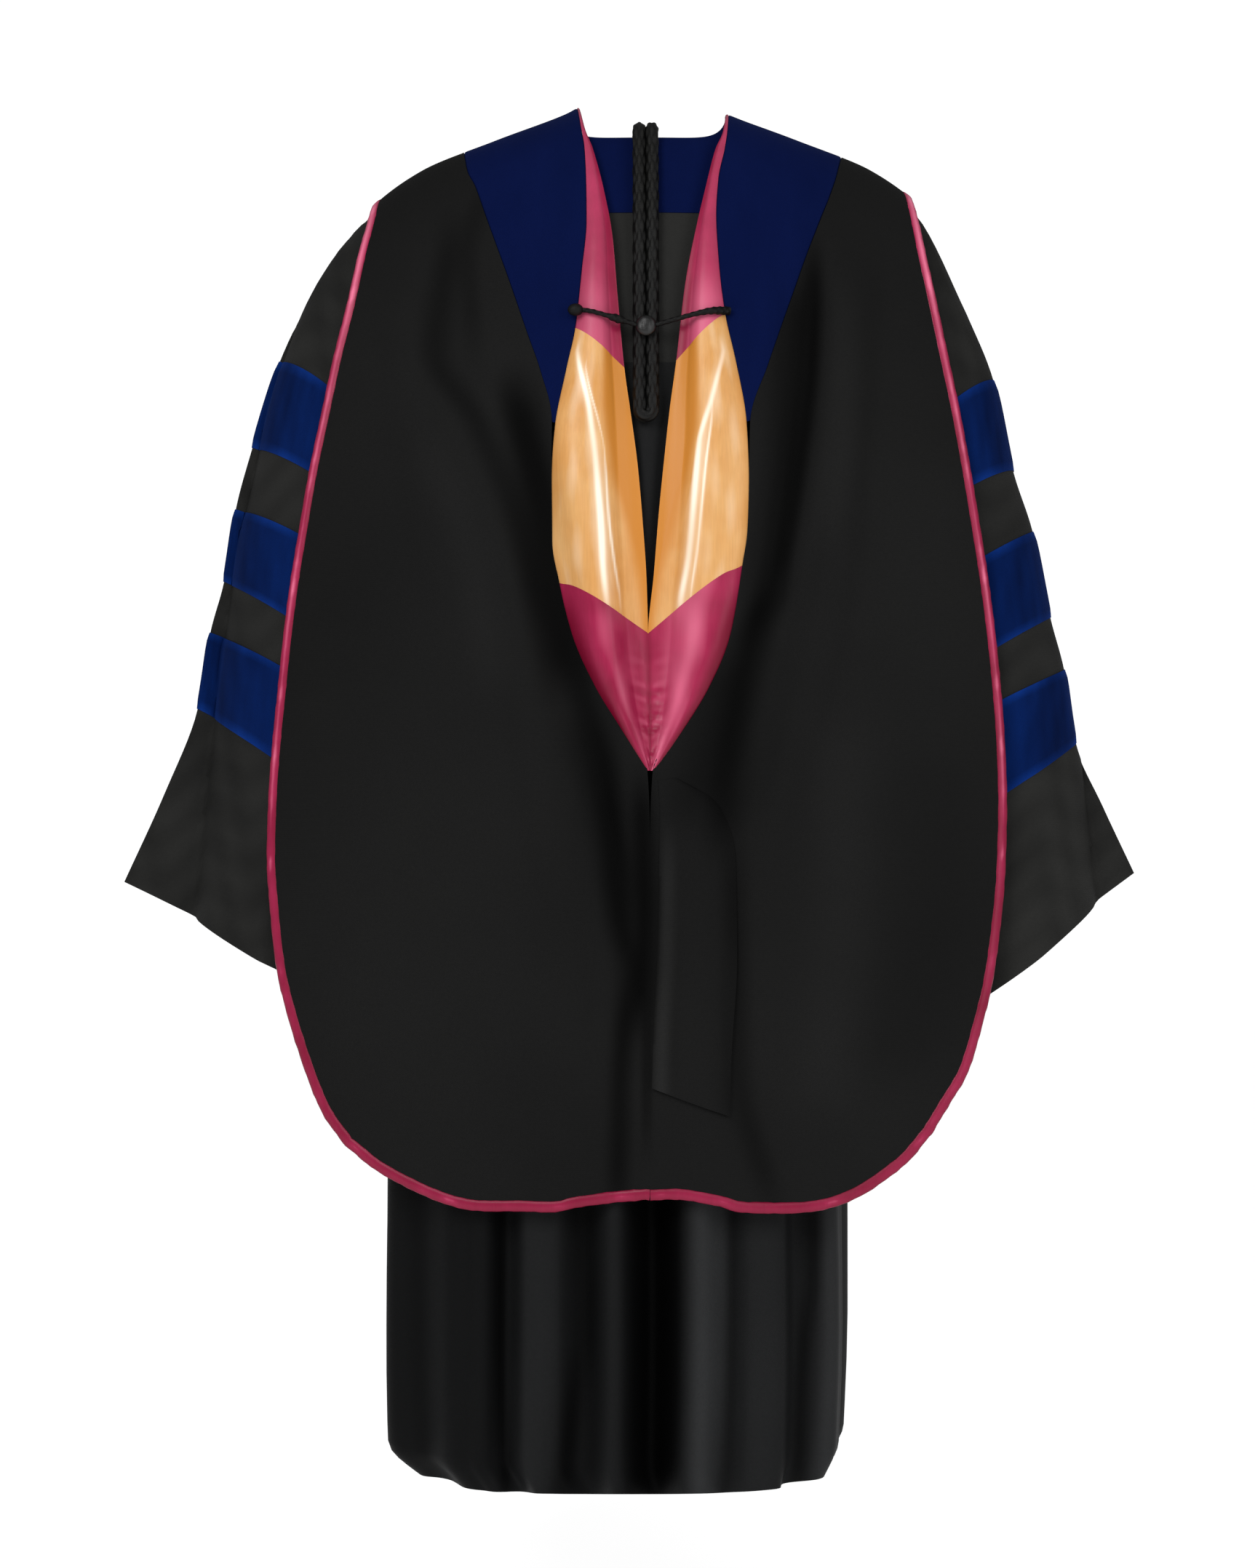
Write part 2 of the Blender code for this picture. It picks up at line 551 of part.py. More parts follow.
def front_grid(hand):
    """Rows of one front panel from its inner edge to armhole and side seam; hand is -1 or 1."""
    rows = []
    heights = []
    places = []
    for drop in front_rows():
        outer_z = float(SHOULDER_TIP_Z - drop**2 * (SHOULDER_TIP_Z - HEM_Z))
        outer = float(side_limit(np.array(outer_z)))
        centre = float(GOWN["centre"](outer_z))
        inner = 0.0
        for _ in range(30):
            level = float(gown_height(np.array(inner), np.array(drop)))
            inner = 0.5 * inner + 0.5 * float(neck_front_x(level))
        if drop == 0:
            inner = NECK_HALF_WIDTH

        def path(distance):
            x = distance * hand + centre
            level = gown_height(distance, np.full_like(distance, drop))
            level = np.where(distance > outer - 1e-6, outer_z, level)
            return np.stack([x, shell_depth(GOWN, x, level, np.array(-1.0)), level], axis=-1)

        _, length = spread(path, 1, inner, outer)
        facing = np.interp(drop, [0, 0.25], [NECK_VELVET_HALF_WIDTH - NECK_HALF_WIDTH, FACING_WIDTH])
        facing = facing * (1.083 if drop == 0 else 1.0) / length
        near = np.linspace(0, facing, FACING_COLUMNS + 1)
        far = np.linspace(facing, 1, FRONT_COLUMNS - FACING_COLUMNS + 1)[1:]
        shares = np.concatenate([near, far])
        distance, _ = spread(path, FRONT_COLUMNS, inner, outer, shares)
        points = path(distance)
        rows.append(points[:, 0])
        heights.append(points[:, 2])
        places.append(hand * (2 - shares))
    return gown_point(np.array(rows), np.array(heights), np.array(-1.0), np.array(places))


def grid_normals(points, loop):
    """Outward directions of a grid whose rows close on themselves where loop is true."""
    if loop:
        across = np.roll(points, -1, axis=1) - np.roll(points, 1, axis=1)
    else:
        across = np.gradient(points, axis=1)
    along = np.gradient(points, axis=0)
    return unit(np.cross(across, along))


def hood_ridge(x):
    """Height of the hood's shoulder line above x."""
    return np.interp(np.abs(x), RIDGE_WIDTHS, RIDGE_HEIGHTS)


def hood_fall(x, z, side):
    """Root of the fall from the shoulder line: positive behind it and negative in front."""
    return side * np.sqrt(np.clip(hood_ridge(x) - z, 0, None))


def hood_folds(x, z):
    depth = np.zeros(np.broadcast(x, z).shape)
    for fold in HOOD_FOLDS:
        heights = [fold.end_z, fold.mid_z, fold.top_z]
        route = smooth_curve(heights, [fold.end_x, fold.mid_x, fold.top_x])
        fade = ease(fold.end_z - 0.04, fold.end_z + 0.06, z) * ease(fold.top_z + 0.04, fold.top_z - 0.08, z)
        off = np.abs(x - route(z)) / fold.half_width
        depth = depth - fold.depth * fade * bump(off / 1.6)
        depth = depth + 0.45 * fold.depth * fade * bump((off - 2.1) / 1.3)
    return depth


def hood_point(x, fall, lift=0.0):
    """Points of the hood's outer form and their outward directions."""
    z = hood_ridge(x) - fall**2
    side = np.where(fall >= 0, 1.0, -1.0)
    y = shell_depth(HOOD, x, z, side)
    normal = shell_normal(HOOD, x, z, side)
    depth = np.where(fall > 0, hood_folds(x, z), 0.0)
    point = np.stack([x, y, z], axis=-1) + normal * (depth + lift)[..., None]
    return point, normal


def hood_line(rows, name, hand):
    """One of the hood's lines as x and fall, for any share of a row number."""
    x = hand * column(rows, name + "_x")
    z = column(rows, name + "_z")
    side = column(rows, "side")
    if name != "rim":
        x = x + CENTRE_X * (side > 0) * ease(-0.42, -0.60, z)
    fall = np.where(side == 0, 0.0, hood_fall(x, z, side))
    numbers = np.arange(len(rows))
    read_x = smooth_curve(numbers, x)
    read_fall = smooth_curve(numbers, fall)
    return lambda row: np.stack([read_x(row), read_fall(row)], axis=-1)


def beside(path, distance):
    """A path on the hood moved sideways over its form by a distance, towards its left hand."""
    x = path[:, 0]
    fall = path[:, 1]
    step = 1e-4
    along_x = (hood_point(x + step, fall)[0] - hood_point(x - step, fall)[0]) / (2 * step)
    along_fall = (hood_point(x, fall + step)[0] - hood_point(x, fall - step)[0]) / (2 * step)
    points, normal = hood_point(x, fall)
    tangent = unit(np.gradient(points, axis=0))
    sideways = unit(np.cross(normal, tangent)) * distance
    moved = []
    for i in range(len(path)):
        frame = np.stack([along_x[i], along_fall[i]], axis=-1)
        change = np.linalg.lstsq(frame, sideways[i], rcond=None)[0]
        moved.append(path[i] + change)
    return np.array(moved)


def hood_edge_path(rows, hem, hand, steps_per_row):
    """The hood's whole edge from the front point round to the middle of its lower edge."""
    hem_x = hand * column(hem, "x") + CENTRE_X * ease(0.05, 0.0, column(hem, "x"))
    hem_z = column(hem, "z")
    side_line = hood_line(rows, "rim", hand)
    numbers = np.linspace(0, len(rows) - 1, (len(rows) - 1) * steps_per_row + 1)
    side = side_line(numbers)
    hem_fall = hood_fall(hem_x, hem_z, 1)
    hem_numbers = np.arange(len(hem))
    fine = np.linspace(0, len(hem) - 1, (len(hem) - 1) * steps_per_row + 1)[1:]
    lower = np.stack(
        [smooth_curve(hem_numbers, hem_x)(fine), smooth_curve(hem_numbers, hem_fall)(fine)], axis=-1
    )
    return np.concatenate([side, lower]), len(side)


def row_numbers(first, last):
    """Row numbers between two rows of the hood, closer together over the shoulder."""
    whole = list(range(first, last + 1))
    return np.array(sorted(whole + [number for number in SHOULDER_ROWS if first < number < last]))


def hood_shell_grid(rows, hem, hand):
    """Rows of one half of the black panel, from the velvet's seam to the edging."""
    edge, side_count = hood_edge_path(rows, hem, hand, EDGE_STEPS)
    edge = beside(edge, -hand * (EDGING_HALF_WIDTH + SEAM_GAP / 2))
    edge[:, 0] = hand * np.maximum(hand * edge[:, 0], 0.0)
    numbers = row_numbers(0, len(rows) - 1)
    outer = edge[np.round(numbers * EDGE_STEPS).astype(int)]
    inner = hood_line(rows, "seam", hand)(numbers)
    lower = edge[side_count - 1:][::-1]
    lengths = np.concatenate([[0], np.cumsum(np.linalg.norm(np.diff(lower, axis=0), axis=1))])
    share = np.linspace(0, 1, SHELL_COLUMNS + 1)
    bottom = np.stack(
        [np.interp(share * lengths[-1], lengths, lower[:, i]) for i in range(2)], axis=-1
    )
    bottom[0] = (inner[-1][0], lower[0][1])
    inner[-1] = bottom[0]
    grid = inner[:, None] + (outer - inner)[:, None] * share[None, :, None]
    level = ease(len(rows) * 0.55, len(rows) - 1, numbers)
    straight = inner[-1] + (outer[-1] - inner[-1]) * share[:, None]
    grid = grid + (bottom - straight)[None] * level[:, None, None]
    return hood_point(grid[..., 0], grid[..., 1])


def velvet_grid(rows, hand):
    """The hood's velvet: wide on the back, over the shoulder and down to a point in front."""
    numbers = row_numbers(0, VELVET_LAST_ROW)
    outer = hood_line(rows, "seam", hand)(numbers)
    inner = hood_line(rows, "fold", hand)(numbers)
    share = np.linspace(0, 1, VELVET_COLUMNS + 1)
    grid = inner[:, None] + (outer - inner)[:, None] * share[None, :, None]
    return hood_point(grid[..., 0], grid[..., 1])


def lining_lift(share, z):
    """Height of the turned-out lining across its width: a full roll that turns in at the middle."""
    full = ease(0.05, -0.30, z) * ease(-0.615, -0.50, z)
    roll = np.sin(np.clip(share * 1.35, 0, 1) * math.pi) ** 0.8
    turned = ease(0.55, 1.0, share)
    return full * (LINING_BULGE * roll - LINING_TURN * turned) - 0.001 * turned


def lining_grid(rows, hand, first, last):
    numbers = row_numbers(first, last)
    outer = hood_line(rows, "fold", hand)(numbers)
    inner = hood_line(rows, "core", hand)(numbers)
    share = np.linspace(0, 1, LINING_COLUMNS + 1)
    grid = outer[:, None] + (inner - outer)[:, None] * share[None, :, None]
    x = grid[..., 0]
    z = hood_ridge(x) - grid[..., 1] ** 2
    return hood_point(x, grid[..., 1], lining_lift(share[None, :] + 0 * x, z))


def tail_grid():
    share = np.linspace(0, 1, 4)
    left = np.stack([column(TAIL_ROWS, "left_x"), column(TAIL_ROWS, "left_z")], axis=-1)
    right = np.stack([column(TAIL_ROWS, "right_x"), column(TAIL_ROWS, "right_z")], axis=-1)
    flat = left[:, None] + (right - left)[:, None] * share[None, :, None]
    x = flat[..., 0]
    fall = hood_fall(x, flat[..., 1], 1)
    points, normals = hood_point(x, fall)
    lift = TAIL_REST + TAIL_LIFT * ease(-0.60, -0.70, flat[..., 1])
    return points + normals * lift[..., None], normals


def armhole_loop(yoke, back, front, hand):
    """The armhole's edge points, from the shoulder tip down the back and up the front."""
    end = -1 if hand > 0 else 0
    last = YOKE_ARMHOLE_COLUMNS + 1
    yoke_edge = yoke[-1][-last:][::-1] if hand > 0 else yoke[-1][:last]
    heights = back[:, end, 2]
    back_edge = back[(heights > UNDERARM_Z - 1e-6) & (heights < YOKE_SEAM_Z - 1e-6), end]
    levels = front[:, -1, 2]
    front_edge = front[(levels > UNDERARM_Z + 1e-6), -1][1:][::-1]
    corners = np.concatenate([yoke_edge, back_edge, front_edge])
    halfway = (corners + np.roll(corners, -1, axis=0)) / 2
    return np.stack([corners, halfway], axis=1).reshape(-1, 3)


def sleeve_points(table, hand, loop):
    """Rings of one sleeve, the first on the armhole and the last at the cuff."""
    back_count = int(np.argmin(loop[:, 2]))
    front_count = len(loop) - back_count
    turn = np.concatenate(
        [np.linspace(0, math.pi, back_count + 1), np.linspace(math.pi, 2 * math.pi, front_count + 1)[1:-1]]
    )
    across = (1 - np.cos(turn)) / 2
    rings = []
    for number, row in enumerate(table):
        width = row.outer_x - row.inner_x
        fall = row.outer_z - row.inner_z
        x = row.outer_x - width * across
        first_drop = row.slope * abs(width)
        z = row.outer_z - first_drop * across - (fall - first_drop) * across**2
        depth = np.where(turn <= math.pi, row.back, row.front)
        y = -np.sin(turn) * depth
        grown = ease(4, len(table) - 1, number)
        flute = np.cos(turn * SLEEVE_FLUTES + 0.6) * SLEEVE_FLUTE_DEPTH * grown
        x = x + np.cos(turn) * flute * 0.4
        y = y - np.sin(turn) * flute
        rings.append(np.stack([x * hand, y, z], axis=-1))
    rings = np.array(rings)
    outward = 0.0006 + 0.0018 * ((1 - np.cos(turn)) / 2)
    start = loop + np.stack([hand * outward, 0 * turn, -0.3 * outward], axis=-1)
    rings[0] = start
    moved_start = start + rings[1].mean(axis=0) - start.mean(axis=0)
    rings[1] += (moved_start - rings[1]) * ARMHOLE_SHARE
    return under_hood(rings)


def under_hood(rings):
    """Keeps a sleeve's rings, after the first, clear of the hood that lies over them."""
    lower = rings[1:]
    x = lower[..., 0]
    near = ease(0.300, 0.283, np.abs(x))
    top = hood_ridge(x) - SHOULDER_CLEARANCE
    lower[..., 2] = lower[..., 2] * (1 - near) + np.minimum(lower[..., 2], top) * near
    z = lower[..., 2] + SHOULDER_CLEARANCE
    back = shell_depth(HOOD, x, z, np.array(1.0)) + HOOD_CLEARANCE
    front = shell_depth(HOOD, x, z, np.array(-1.0)) - HOOD_CLEARANCE + 0.06 * ease(-0.12, -0.26, z)
    lower[..., 1] = np.maximum(lower[..., 1], np.minimum(back, 0.0))
    lower[..., 1] = np.minimum(lower[..., 1], np.maximum(front, 0.0))
    return rings


def make_object(name, vertices, faces, material):
    mesh = bpy.data.meshes.new(name)
    mesh.from_pydata([tuple(map(float, v)) for v in vertices], [], faces)
    mesh.materials.append(material)
    mesh.validate()
    mesh.shade_smooth()
    item = bpy.data.objects.new(name, mesh)
    bpy.context.scene.collection.objects.link(item)
    return item


def pull_in(points, loop):
    """Moves a grid's edges inwards by half of the seam gap."""
    pulled = points.copy()
    half = SEAM_GAP / 2
    pulled[0] += unit(points[1] - points[0]) * half
    pulled[-1] += unit(points[-2] - points[-1]) * half
    if not loop:
        pulled[:, 0] += unit(points[:, 1] - points[:, 0]) * half
        pulled[:, -1] += unit(points[:, -2] - points[:, -1]) * half
    return pulled


def cloth(name, grid, material, thickness=GOWN_CLOTH, lift=0.0, loop=False):
    """A closed wall of cloth around a grid of points, moved out by lift."""
    points, normals = grid
    points = pull_in(points, loop)
    row_count, column_count = points.shape[:2]
    outer = points + normals * (lift + thickness / 2)
    inner = points + normals * (lift - thickness / 2)
    vertices = np.concatenate([outer.reshape(-1, 3), inner.reshape(-1, 3)])
    total = row_count * column_count
    r = row_count // 2
    c = column_count // 2
    across = points[r, c] - points[r, c - 1]
    along = points[r, c] - points[r - 1, c]
    facing_out = float(np.dot(np.cross(across, along), normals[r, c])) > 0
    faces = []
    last = column_count if loop else column_count - 1

    def add(corners):
        faces.append(tuple(corners) if facing_out else tuple(reversed(corners)))

    def number(row, place):
        return row * column_count + place % column_count

    for row in range(row_count - 1):
        for place in range(last):
            first = [number(row, place), number(row, place + 1), number(row + 1, place + 1)]
            second = [number(row, place), number(row + 1, place + 1), number(row + 1, place)]
            for corners in (first, second):
                add(corners)
                add([total + corner for corner in reversed(corners)])
    rim = [(number(0, i), number(0, i + 1)) for i in range(last)]
    rim += [(number(row_count - 1, i + 1), number(row_count - 1, i)) for i in range(last)]
    if not loop:
        rim += [(number(i, column_count - 1), number(i + 1, column_count - 1)) for i in range(row_count - 1)]
        rim += [(number(i + 1, 0), number(i, 0)) for i in range(row_count - 1)]
    for start, end in rim:
        add([end, start, total + start, total + end])
    return make_object(name, vertices, faces, material)


def edging(name, path, hand, material, sides=6):
    """The satin edging: a flat tube along the hood's edge, cut off at the middle of the hood."""
    points, normals = hood_point(path[:, 0], path[:, 1])
    tangents = unit(np.gradient(points, axis=0))
    sideways = unit(np.cross(normals, tangents))
    rings = []
    for i in range(sides):
        turn = 2 * math.pi * (i + 0.5) / sides
        rings.append(
            points
            + sideways * math.cos(turn) * EDGING_HALF_WIDTH
            + normals * math.sin(turn) * EDGING_HALF_THICKNESS
        )
    rings = np.stack(rings, axis=1)
    middle = np.where(path[:, 1] > 0, CENTRE_X, 0.0)[:, None] + hand * SEAM_GAP / 2
    rings[..., 0] = hand * np.maximum(hand * rings[..., 0], hand * middle)
    return tube(name, rings, material)


def tube(name, rings, material):
    """A closed tube through rings of points with flat ends."""
    count, sides = rings.shape[:2]
    faces = []
    for i in range(count - 1):
        for j in range(sides):
            k = (j + 1) % sides
            faces.append((i * sides + j, i * sides + k, (i + 1) * sides + k, (i + 1) * sides + j))
    faces.append(tuple(reversed(range(sides))))
    faces.append(tuple((count - 1) * sides + j for j in range(sides)))
    item = make_object(name, rings.reshape(-1, 3), faces, material)
    work = bmesh.new()
    work.from_mesh(item.data)
    bmesh.ops.recalc_face_normals(work, faces=work.faces)
    work.to_mesh(item.data)
    work.free()
    return item


def cord_curve(name, route, radius, material, sides_level=2):
    """A cord along a smooth line through its route, with closed ends."""
    curve = bpy.data.curves.new(name, "CURVE")
    curve.dimensions = "3D"
    curve.bevel_depth = radius
    curve.bevel_resolution = sides_level
    curve.use_fill_caps = True
    spline = curve.splines.new("POLY")
    spline.points.add(len(route) - 1)
    for point, place in zip(spline.points, route):
        point.co = (*map(float, place), 1.0)
    curve.materials.append(material)
    item = bpy.data.objects.new(name, curve)
    bpy.context.scene.collection.objects.link(item)
    return item


def smooth_route(places, spacing):
    """Evenly spaced points on a smooth curve through the places."""
    places = np.array(places, float)
    lengths = np.concatenate([[0], np.cumsum(np.linalg.norm(np.diff(places, axis=0), axis=1))])
    reads = [smooth_curve(lengths, places[:, i]) for i in range(3)]
    count = max(2, int(round(lengths[-1] / spacing)))
    at = np.linspace(0, lengths[-1], count + 1)
    return np.stack([read(at) for read in reads], axis=-1)


def over_yoke(x, z, lift):
    """A place lifted off the gown's back at x and z."""
    point, normal = gown_point(np.array(x), np.array(z), np.array(1.0), lift=np.array(lift))
    return point


def loop_route():
    """The braided cord: out over the neck edge, down the back, round, and up again."""
    on_velvet = GOWN_CLOTH / 2 + SEAM_GAP + VELVET + CORD_REST + LOOP_CORD_RADIUS
    on_cloth = GOWN_CLOTH / 2 + 2 * CORD_REST + LOOP_CORD_RADIUS
    x = BUTTON_X - LOOP_CORD_SPREAD
    edge, normal = gown_point(np.array(x), np.array(NECK_EDGE_Z - SEAM_GAP), np.array(1.0),
                              lift=np.array((GOWN_CLOTH + SEAM_GAP) / 2))
    normal = unit(normal * (0, 1, 1))
    upward = np.array([0.0, -normal[2], normal[1]])
    upward = upward * np.sign(upward[2])
    reach = (GOWN_CLOTH + SEAM_GAP + VELVET) / 2 + LOOP_CORD_RADIUS + 2 * CORD_REST
    over_edge = [
        tuple(edge + reach * (normal * math.cos(turn) + upward * math.sin(turn)))
        for turn in np.radians([180, 150, 120, 90, 60, 30])
    ]
    inside_end = tuple(np.array(over_edge[0]) - upward * INSIDE_CORD_LENGTH)
    down = [inside_end] + over_edge + [
        tuple(over_yoke(x, z, lift)) for z, lift in (
            (NECK_EDGE_Z - 0.014, on_velvet),
            (-0.025, on_velvet),
            (-NECK_VELVET_DEPTH, on_velvet),
            (-NECK_VELVET_DEPTH - 0.010, on_velvet),
            (-0.115, on_cloth),
            (-0.180, on_cloth),
            (-0.220, on_cloth + LOOP_SWELL / 2),
            (-0.250, on_cloth + LOOP_SWELL),
            (LOOP_END_Z + LOOP_CORD_SPREAD, on_cloth + LOOP_SWELL),
        )
    ]
    centre = np.array(down[-1]) + (LOOP_CORD_SPREAD, 0, 0)
    turn = [
        tuple(centre + (-LOOP_CORD_SPREAD * math.cos(a), 0, -LOOP_CORD_SPREAD * math.sin(a)))
        for a in np.linspace(0, math.pi, 7)[1:-1]
    ]
    up = [(2 * BUTTON_X - px, py, pz) for px, py, pz in reversed(down)]
    left = smooth_route(down, LOOP_CORD_STEP)
    right = smooth_route(up, LOOP_CORD_STEP)
    return np.concatenate([left, np.array(turn), right])


def button_and_cords(materials, route):
    """The covered button, the hood's thin cord on each side of it, and their knots."""
    black = materials["black_cord"]
    front_y = float(np.min(route[np.abs(route[:, 2] - BUTTON_Z) < 0.02][:, 1])) - LOOP_CORD_RADIUS
    work = bmesh.new()
    bmesh.ops.create_uvsphere(work, u_segments=12, v_segments=8, radius=BUTTON_RADIUS)
    for vertex in work.verts:
        vertex.co.y *= BUTTON_FLATNESS
    mesh = bpy.data.meshes.new("back_button")
    work.to_mesh(mesh)
    work.free()
    mesh.materials.append(black)
    mesh.shade_smooth()
    button = bpy.data.objects.new("back_button", mesh)
    bulge = BUTTON_FLATNESS * math.sqrt(BUTTON_RADIUS**2 - LOOP_CORD_SPREAD**2)
    centre_y = front_y - bulge - SEAM_GAP
    button.location = (BUTTON_X, centre_y, BUTTON_Z)
    bpy.context.scene.collection.objects.link(button)
    for hand, x, z in ((-1, LEFT_CORD_X, LEFT_CORD_Z), (1, RIGHT_CORD_X, RIGHT_CORD_Z)):
        fall = hood_fall(np.array(x), np.array(z), 1)
        anchor, normal = hood_point(np.array(x), fall)
        name = "hood_cord_left" if hand < 0 else "hood_cord_right"
        reach = BUTTON_RADIUS + SEAM_GAP
        start = anchor + normal * (VELVET / 2 + HOOD_CORD_RADIUS + CORD_REST)
        if hand < 0:
            knot_centre = anchor + normal * (VELVET / 2 + KNOT_RADIUS + 0.0022)
            ball(name.replace("cord", "knot"), knot_centre, KNOT_RADIUS, black)
            start = knot_centre + (KNOT_RADIUS + 0.0010, 0, 0)
        end = np.array([BUTTON_X + hand * reach, centre_y, BUTTON_Z + 0.001])
        crest_x = CREST_SHARE * x
        crest_z = z + (BUTTON_Z - z) * (1 - CREST_SHARE)
        crest, _ = hood_point(np.array(crest_x), hood_fall(np.array(crest_x), np.array(crest_z), 1),
                              np.array(LINING_BULGE + HOOD_CORD_RADIUS))
        cord_curve(name, smooth_route([start, crest, end], 0.006), HOOD_CORD_RADIUS, black)


def ball(name, centre, radius, material):
    work = bmesh.new()
    bmesh.ops.create_uvsphere(work, u_segments=10, v_segments=6, radius=radius)
    mesh = bpy.data.meshes.new(name)
    work.to_mesh(mesh)
    work.free()
    mesh.materials.append(material)
    mesh.shade_smooth()
    item = bpy.data.objects.new(name, mesh)
    item.location = tuple(map(float, centre))
    bpy.context.scene.collection.objects.link(item)


def build_gown(materials):
    black = materials["gown_cloth"]
    velvet = materials["velvet"]
    on_top = GOWN_CLOTH / 2 + SEAM_GAP + VELVET / 2
    yoke = yoke_grid()
    back = back_grid()
    cloth("back_yoke", yoke, black)
    cloth("back_neck_velvet", (yoke[0][:3], yoke[1][:3]), velvet, VELVET, on_top)
    cloth("back_panel", back, black)
    for hand, side, table in ((-1, "left", LEFT_SLEEVE), (1, "right", RIGHT_SLEEVE)):
        front = front_grid(hand)
        cloth(f"front_{side}", front, black)
        strip = FACING_COLUMNS + 1
        cloth(f"front_velvet_{side}", (front[0][:, :strip], front[1][:, :strip]), velvet, VELVET, on_top)
        loop = armhole_loop(yoke[0], back[0], front[0], hand)
        points = sleeve_points(table, hand, loop)
        normals = grid_normals(points, True) * hand
        cloth(f"sleeve_{side}", (points, normals), black, loop=True)
        for number, (first, last) in enumerate(SLEEVE_BARS, start=1):
            bar_points = points[first:last + 1]
            bar_normals = normals[first:last + 1]
            cloth(f"sleeve_bar_{side}_{number}", (bar_points, bar_normals), velvet, VELVET, on_top, True)


def build_hood(materials):
    black = materials["gown_cloth"]
    pink = materials["pink_satin"]
    gold = materials["gold_satin"]
    for hand, side, rows, hem in (
        (-1, "left", LEFT_ROWS, LEFT_HOOD_HEM),
        (1, "right", RIGHT_ROWS, RIGHT_HOOD_HEM),
    ):
        cloth(f"hood_shell_{side}", hood_shell_grid(rows, hem, hand), black)
        cloth(f"hood_velvet_{side}", velvet_grid(rows, hand), materials["velvet"], VELVET)
        parts = (
            ("upper", RIDGE_ROW, SATIN_SEAM_ROW, pink),
            ("gold", SATIN_SEAM_ROW, GOLD_LAST_ROW, gold),
            ("lower", GOLD_LAST_ROW, LINING_LAST_ROW, pink),
        )
        for name, first, last, material in parts:
            cloth(f"hood_lining_{side}_{name}", lining_grid(rows, hand, first, last), material, SATIN)
        path, _ = hood_edge_path(rows, hem, hand, EDGING_STEPS)
        edging(f"hood_edging_{side}", path, hand, pink)
    cloth("hood_tail", tail_grid(), black)


def main():
    clear_scene()
    materials = make_materials()
    build_gown(materials)
    build_hood(materials)
    route = loop_route()
    cord_curve("back_cord_loop", route, LOOP_CORD_RADIUS, materials["black_cord"])
    button_and_cords(materials, route)


main()
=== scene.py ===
"""Doctoral graduation gown with its hood: fine cloth, velvet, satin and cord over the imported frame.

Metres, +Z up. +X is the wearer's right, +Y the wearer's front, so the back faces -Y.
The origin is the middle of the neck opening, 20 mm below the gown's back neck edge.
"""

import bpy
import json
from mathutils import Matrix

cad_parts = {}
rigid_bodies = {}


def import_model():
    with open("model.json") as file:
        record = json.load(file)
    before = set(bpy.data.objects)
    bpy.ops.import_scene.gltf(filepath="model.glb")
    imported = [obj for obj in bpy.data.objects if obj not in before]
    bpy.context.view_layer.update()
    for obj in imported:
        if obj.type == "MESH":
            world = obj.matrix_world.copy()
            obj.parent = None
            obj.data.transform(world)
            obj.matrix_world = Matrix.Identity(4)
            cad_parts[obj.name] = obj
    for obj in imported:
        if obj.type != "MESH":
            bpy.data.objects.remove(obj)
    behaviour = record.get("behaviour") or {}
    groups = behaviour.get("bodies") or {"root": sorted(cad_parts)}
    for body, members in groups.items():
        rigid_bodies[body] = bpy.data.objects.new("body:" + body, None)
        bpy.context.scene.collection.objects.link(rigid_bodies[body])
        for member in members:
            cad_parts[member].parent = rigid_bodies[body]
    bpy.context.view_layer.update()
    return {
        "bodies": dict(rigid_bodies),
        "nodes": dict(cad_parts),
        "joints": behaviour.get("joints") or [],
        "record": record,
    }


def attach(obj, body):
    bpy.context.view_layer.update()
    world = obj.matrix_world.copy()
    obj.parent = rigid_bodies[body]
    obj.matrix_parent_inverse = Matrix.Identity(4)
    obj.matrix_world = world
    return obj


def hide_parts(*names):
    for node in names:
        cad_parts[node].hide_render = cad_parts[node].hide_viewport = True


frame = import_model()

import json
import math
from collections import namedtuple

import bpy
import numpy as np
from mathutils import Vector

# The camera: at the back, level, as far off as the picture's perspective asks
CAMERA_PLACE = (-0.01925, -2.55, -0.6216)
CAMERA_LENS = 57.25
SENSOR_WIDTH = 36.0
FLOOR_Z = -1.46
FLOOR_REACH = 6.0
FLOOR_GREY = 0.3
FLOOR_GLOW = 0.9
WORLD_LIGHT = 0.32
BACKGROUND_WHITE = 1.05
# Each lamp: name, place, what it points at, width and height, power
LAMPS = [
    ("key_softbox", (-1.5, -2.9, 1.2), (0, 0, -0.5), (1.4, 1.8), 62),
    ("fill_softbox", (2.0, -2.4, 0.2), (0, 0, -0.6), (1.4, 2.2), 28),
    ("strip_light", (0.0, -2.9, 0.9), (0, 0, -0.35), (0.14, 1.4), 10),
]
# Least share of its width times its length that a cut piece of cloth fills
SLIMMEST_CUT = 0.4

# Cloth thicknesses, and the gap kept at every seam
GOWN_CLOTH = 0.0015
VELVET = 0.0018
SATIN = 0.0012
# A rolled edge's thickness as a share of the cloth's
ROLLED_EDGE = 0.25
SEAM_GAP = 0.0004
FINE_GAP = 0.00004

# Gown lengths and places
HEM_Z = -1.303
# Below this the skirt draws in at both sides
HEM_TURN_Z = -1.272
HEM_ROWS = 5
YOKE_SEAM_Z = -0.213
UNDERARM_Z = -0.28
NECK_HALF_WIDTH = 0.08
NECK_POINT_Z = 0.054
NECK_EDGE_Z = 0.02
SHOULDER_HALF_WIDTH = 0.21
SHOULDER_TIP_Z = 0.002
FRONT_NECK_Z = -0.11
NECK_VELVET_DEPTH = 0.062
NECK_VELVET_HALF_WIDTH = 0.155
FACING_WIDTH = 0.12
# The facing is this much wider on the slanting shoulder line
FACING_RIDGE_SHARE = 1.083
CENTRE_X = 0.0022

